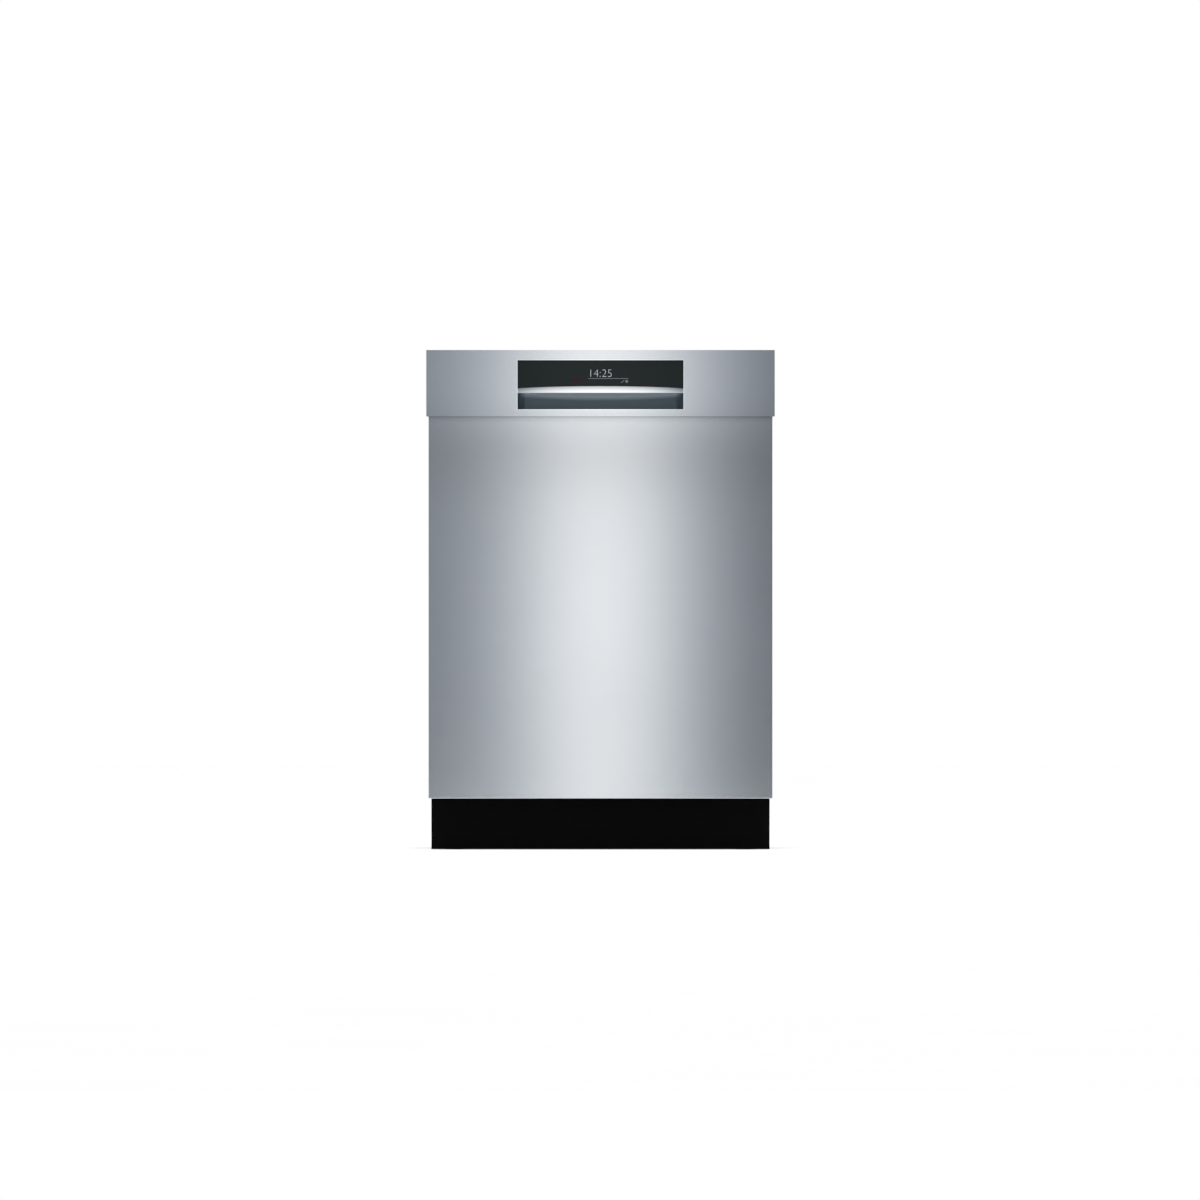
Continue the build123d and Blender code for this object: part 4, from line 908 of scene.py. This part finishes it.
digits_left, digits_bottom = photo_point(DIGITS_X[0], DIGITS_Y[1])
digits_right, digits_top = photo_point(DIGITS_X[1], DIGITS_Y[0])
digit_curve = bpy.data.curves.new("digits", "FONT")
digit_curve.body = DIGITS
digit_curve.offset = DIGITS_THINNING
digit_maker = bpy.data.objects.new("digit_maker", digit_curve)
bpy.context.collection.objects.link(digit_maker)
bpy.context.view_layer.update()
digit_mesh = bpy.data.meshes.new_from_object(digit_maker.evaluated_get(bpy.context.evaluated_depsgraph_get()))
bpy.data.objects.remove(digit_maker)
digit_shape = bmesh.new()
digit_shape.from_mesh(digit_mesh)
raised = bmesh.ops.extrude_face_region(digit_shape, geom=digit_shape.faces[:])
for element in raised["geom"]:
    if isinstance(element, bmesh.types.BMVert):
        element.co.z += 1.0
lows = [min(vertex.co[axis] for vertex in digit_shape.verts) for axis in range(2)]
highs = [max(vertex.co[axis] for vertex in digit_shape.verts) for axis in range(2)]
for vertex in digit_shape.verts:
    share_x = (vertex.co.x - lows[0]) / (highs[0] - lows[0])
    share_z = (vertex.co.y - lows[1]) / (highs[1] - lows[1])
    vertex.co = (digits_left + share_x * (digits_right - digits_left),
                 GLASS_FACE - MARK_THICKNESS * vertex.co.z,
                 digits_bottom + share_z * (digits_top - digits_bottom))
make_piece("display_digits", digit_shape, "door", white_glow)

# Stage: a white floor that keeps the shadow
FLOOR_SIDE = 40.0
FLOOR_LIFT = 0.5
FLOOR_TINTS = ((0.88, 0.88, 0.88), (0.92, 0.92, 0.92))
floor_half = FLOOR_SIDE / 2
floor_mesh = bpy.data.meshes.new("floor")
floor_mesh.from_pydata([(-floor_half, -floor_half, 0), (floor_half, -floor_half, 0),
                        (floor_half, floor_half, 0), (-floor_half, floor_half, 0)], [], [(0, 1, 2, 3)])
floor = bpy.data.objects.new("floor", floor_mesh)
bpy.context.collection.objects.link(floor)
floor_look = Shader("floor_white")
floor_look.set(Roughness=0.9, Specular_IOR_Level=0.0, Emission_Color=(1, 1, 1, 1))
floor_rays = floor_look.add("ShaderNodeLightPath")
floor_seen = floor_look.calculate("MAXIMUM", floor_rays.outputs["Is Camera Ray"],
                                  floor_rays.outputs["Is Glossy Ray"])
floor_look.feed(Base_Color=floor_look.blend(floor_look.noise(3.0), *FLOOR_TINTS),
                Emission_Strength=floor_look.ramp(floor_seen, 0.0, FLOOR_LIFT))
floor_mesh.materials.append(floor_look.material)

# World: soft even light, white where it is seen
WORLD_LIGHT = 0.55
world = bpy.data.worlds.new("studio")
world.use_nodes = True
bpy.context.scene.world = world
sky = world.node_tree
rays = sky.nodes.new("ShaderNodeLightPath")
seen = None
for ray_kind in ("Is Camera Ray", "Is Glossy Ray", "Is Transmission Ray"):
    if seen is None:
        seen = rays.outputs[ray_kind]
        continue
    either = sky.nodes.new("ShaderNodeMath")
    either.operation = "MAXIMUM"
    sky.links.new(seen, either.inputs[0])
    sky.links.new(rays.outputs[ray_kind], either.inputs[1])
    seen = either.outputs["Value"]
sky_strength = sky.nodes.new("ShaderNodeMapRange")
sky_strength.inputs["To Min"].default_value = WORLD_LIGHT
sky_strength.inputs["To Max"].default_value = 1.0
sky.links.new(seen, sky_strength.inputs["Value"])
sky.links.new(sky_strength.outputs["Result"], sky.nodes["Background"].inputs["Strength"])
sky.nodes["Background"].inputs["Color"].default_value = (1, 1, 1, 1)

# Scrim: a wide light panel in front of the door, bright in the middle, dim at its sides and top
SCRIM_DISTANCE = 0.9
SCRIM_HALF_WIDTH = 1.2
SCRIM_FOOT = 0.002
SCRIM_TOP = 2.6
SCRIM_PEAK = 1.5
SIDE_TINT = (0.79, 0.885, 1.0)
MIDDLE_TINT = (1.0, 1.0, 1.0)
SIDES_AT = 0.3
SIDE_LEVELS = (0.215, 0.145)
DOOR_WIDTH = 0.163
CONSOLE_WIDTH = 0.182
FLOOR_LEVEL = 0.88
FULL_FROM = 0.35
FULL_TO = 0.6
SEAM_LEVEL = 0.57
SEAM_LOW = 0.735
SEAM_HIGH = 0.75
CONSOLE_LEVEL = 1.03
CONSOLE_FOOT = 1.25
CONSOLE_FOOT_TO = 0.84
FADE_FROM = 0.9
FADE_TO = 2.12
FADE_LEVEL = 0.1
scrim_y = front_y - SCRIM_DISTANCE
scrim_mesh = bpy.data.meshes.new("scrim")
scrim_mesh.from_pydata([(-SCRIM_HALF_WIDTH, scrim_y, SCRIM_FOOT), (SCRIM_HALF_WIDTH, scrim_y, SCRIM_FOOT),
                        (SCRIM_HALF_WIDTH, scrim_y, SCRIM_TOP), (-SCRIM_HALF_WIDTH, scrim_y, SCRIM_TOP)],
                       [], [(0, 1, 2, 3)])
scrim = bpy.data.objects.new("scrim", scrim_mesh)
bpy.context.collection.objects.link(scrim)
scrim.visible_camera = False
scrim.visible_shadow = False
scrim_look = Shader("scrim_light")
scrim_look.tree.nodes.remove(scrim_look.principled)
scrim_place = scrim_look.add("ShaderNodeSeparateXYZ")
scrim_look.link(scrim_look.coordinates(EVEN), scrim_place.inputs["Vector"])
scrim_x = scrim_place.outputs["X"]
scrim_z = scrim_place.outputs["Z"]
above_seam = scrim_look.ramp(scrim_z, 0.0, 1.0, SEAM_LOW, SEAM_HIGH)
bell_width = scrim_look.ramp(above_seam, DOOR_WIDTH, CONSOLE_WIDTH)
bell_reach = scrim_look.calculate("DIVIDE", scrim_x, bell_width)
bell_fall = scrim_look.calculate("MULTIPLY", bell_reach, bell_reach)
bell = scrim_look.calculate("EXPONENT", scrim_look.calculate("MULTIPLY", bell_fall, -1.0))


def scrim_mix(share, first, second):
    """Level that runs from the first to the second with a share."""
    node = scrim_look.add("ShaderNodeMix", data_type="FLOAT")
    for key, value in (("Factor", share), ("A", first), ("B", second)):
        if isinstance(value, (int, float)):
            node.inputs[key].default_value = value
        else:
            scrim_look.link(value, node.inputs[key])
    return node.outputs["Result"]


scrim_fall = scrim_mix(bell, scrim_look.ramp(scrim_x, *SIDE_LEVELS, -SIDES_AT, SIDES_AT), 1.0)
door_rise = scrim_look.calculate("MINIMUM", scrim_look.ramp(scrim_z, FLOOR_LEVEL, 1.0, 0.0, FULL_FROM),
                                 scrim_look.ramp(scrim_z, 1.0, SEAM_LEVEL, FULL_TO, SEAM_LOW))
console_foot = scrim_look.ramp(scrim_z, CONSOLE_FOOT, 1.0, SEAM_HIGH, CONSOLE_FOOT_TO)
console_fade = scrim_look.ramp(scrim_z, CONSOLE_LEVEL, FADE_LEVEL, FADE_FROM, FADE_TO)
console_rise = scrim_look.calculate("MULTIPLY", console_foot, console_fade)
scrim_rise = scrim_mix(above_seam, door_rise, console_rise)
scrim_level = scrim_look.calculate("MULTIPLY", scrim_fall, scrim_rise)
scrim_emission = scrim_look.add("ShaderNodeEmission")
scrim_look.link(scrim_look.calculate("MULTIPLY", scrim_level, SCRIM_PEAK), scrim_emission.inputs["Strength"])
scrim_look.link(scrim_look.blend(scrim_fall, SIDE_TINT, MIDDLE_TINT), scrim_emission.inputs["Color"])
scrim_output = scrim_look.tree.nodes["Material Output"]
scrim_look.link(scrim_emission.outputs["Emission"], scrim_output.inputs["Surface"])
scrim_mesh.materials.append(scrim_look.material)

# Overhead light
OVERHEAD_SIZE = 3.0
OVERHEAD_POWER = 50.0
OVERHEAD_PLACE = (0, -0.6, 3.2)
overhead_data = bpy.data.lights.new("overhead", "AREA")
overhead_data.size = OVERHEAD_SIZE
overhead_data.energy = OVERHEAD_POWER
overhead = bpy.data.objects.new("overhead", overhead_data)
overhead.location = OVERHEAD_PLACE
bpy.context.collection.objects.link(overhead)

# Camera: far away, level with the middle of the photograph
camera_data = bpy.data.cameras.new("camera")
camera_data.sensor_width = SENSOR
camera_data.lens = SENSOR * CAMERA_DISTANCE / (PHOTO_SIDE * METRE_PER_PIXEL)
camera_data.clip_end = CLIP_END
camera = bpy.data.objects.new("camera", camera_data)
aim_x, aim_z = photo_point(PHOTO_SIDE / 2, PHOTO_SIDE / 2)
camera.location = (aim_x, front_y - CAMERA_DISTANCE, aim_z)
camera.rotation_euler = (pi / 2, 0, 0)
bpy.context.collection.objects.link(camera)
bpy.context.scene.camera = camera
bpy.context.scene.view_settings.view_transform = "Standard"
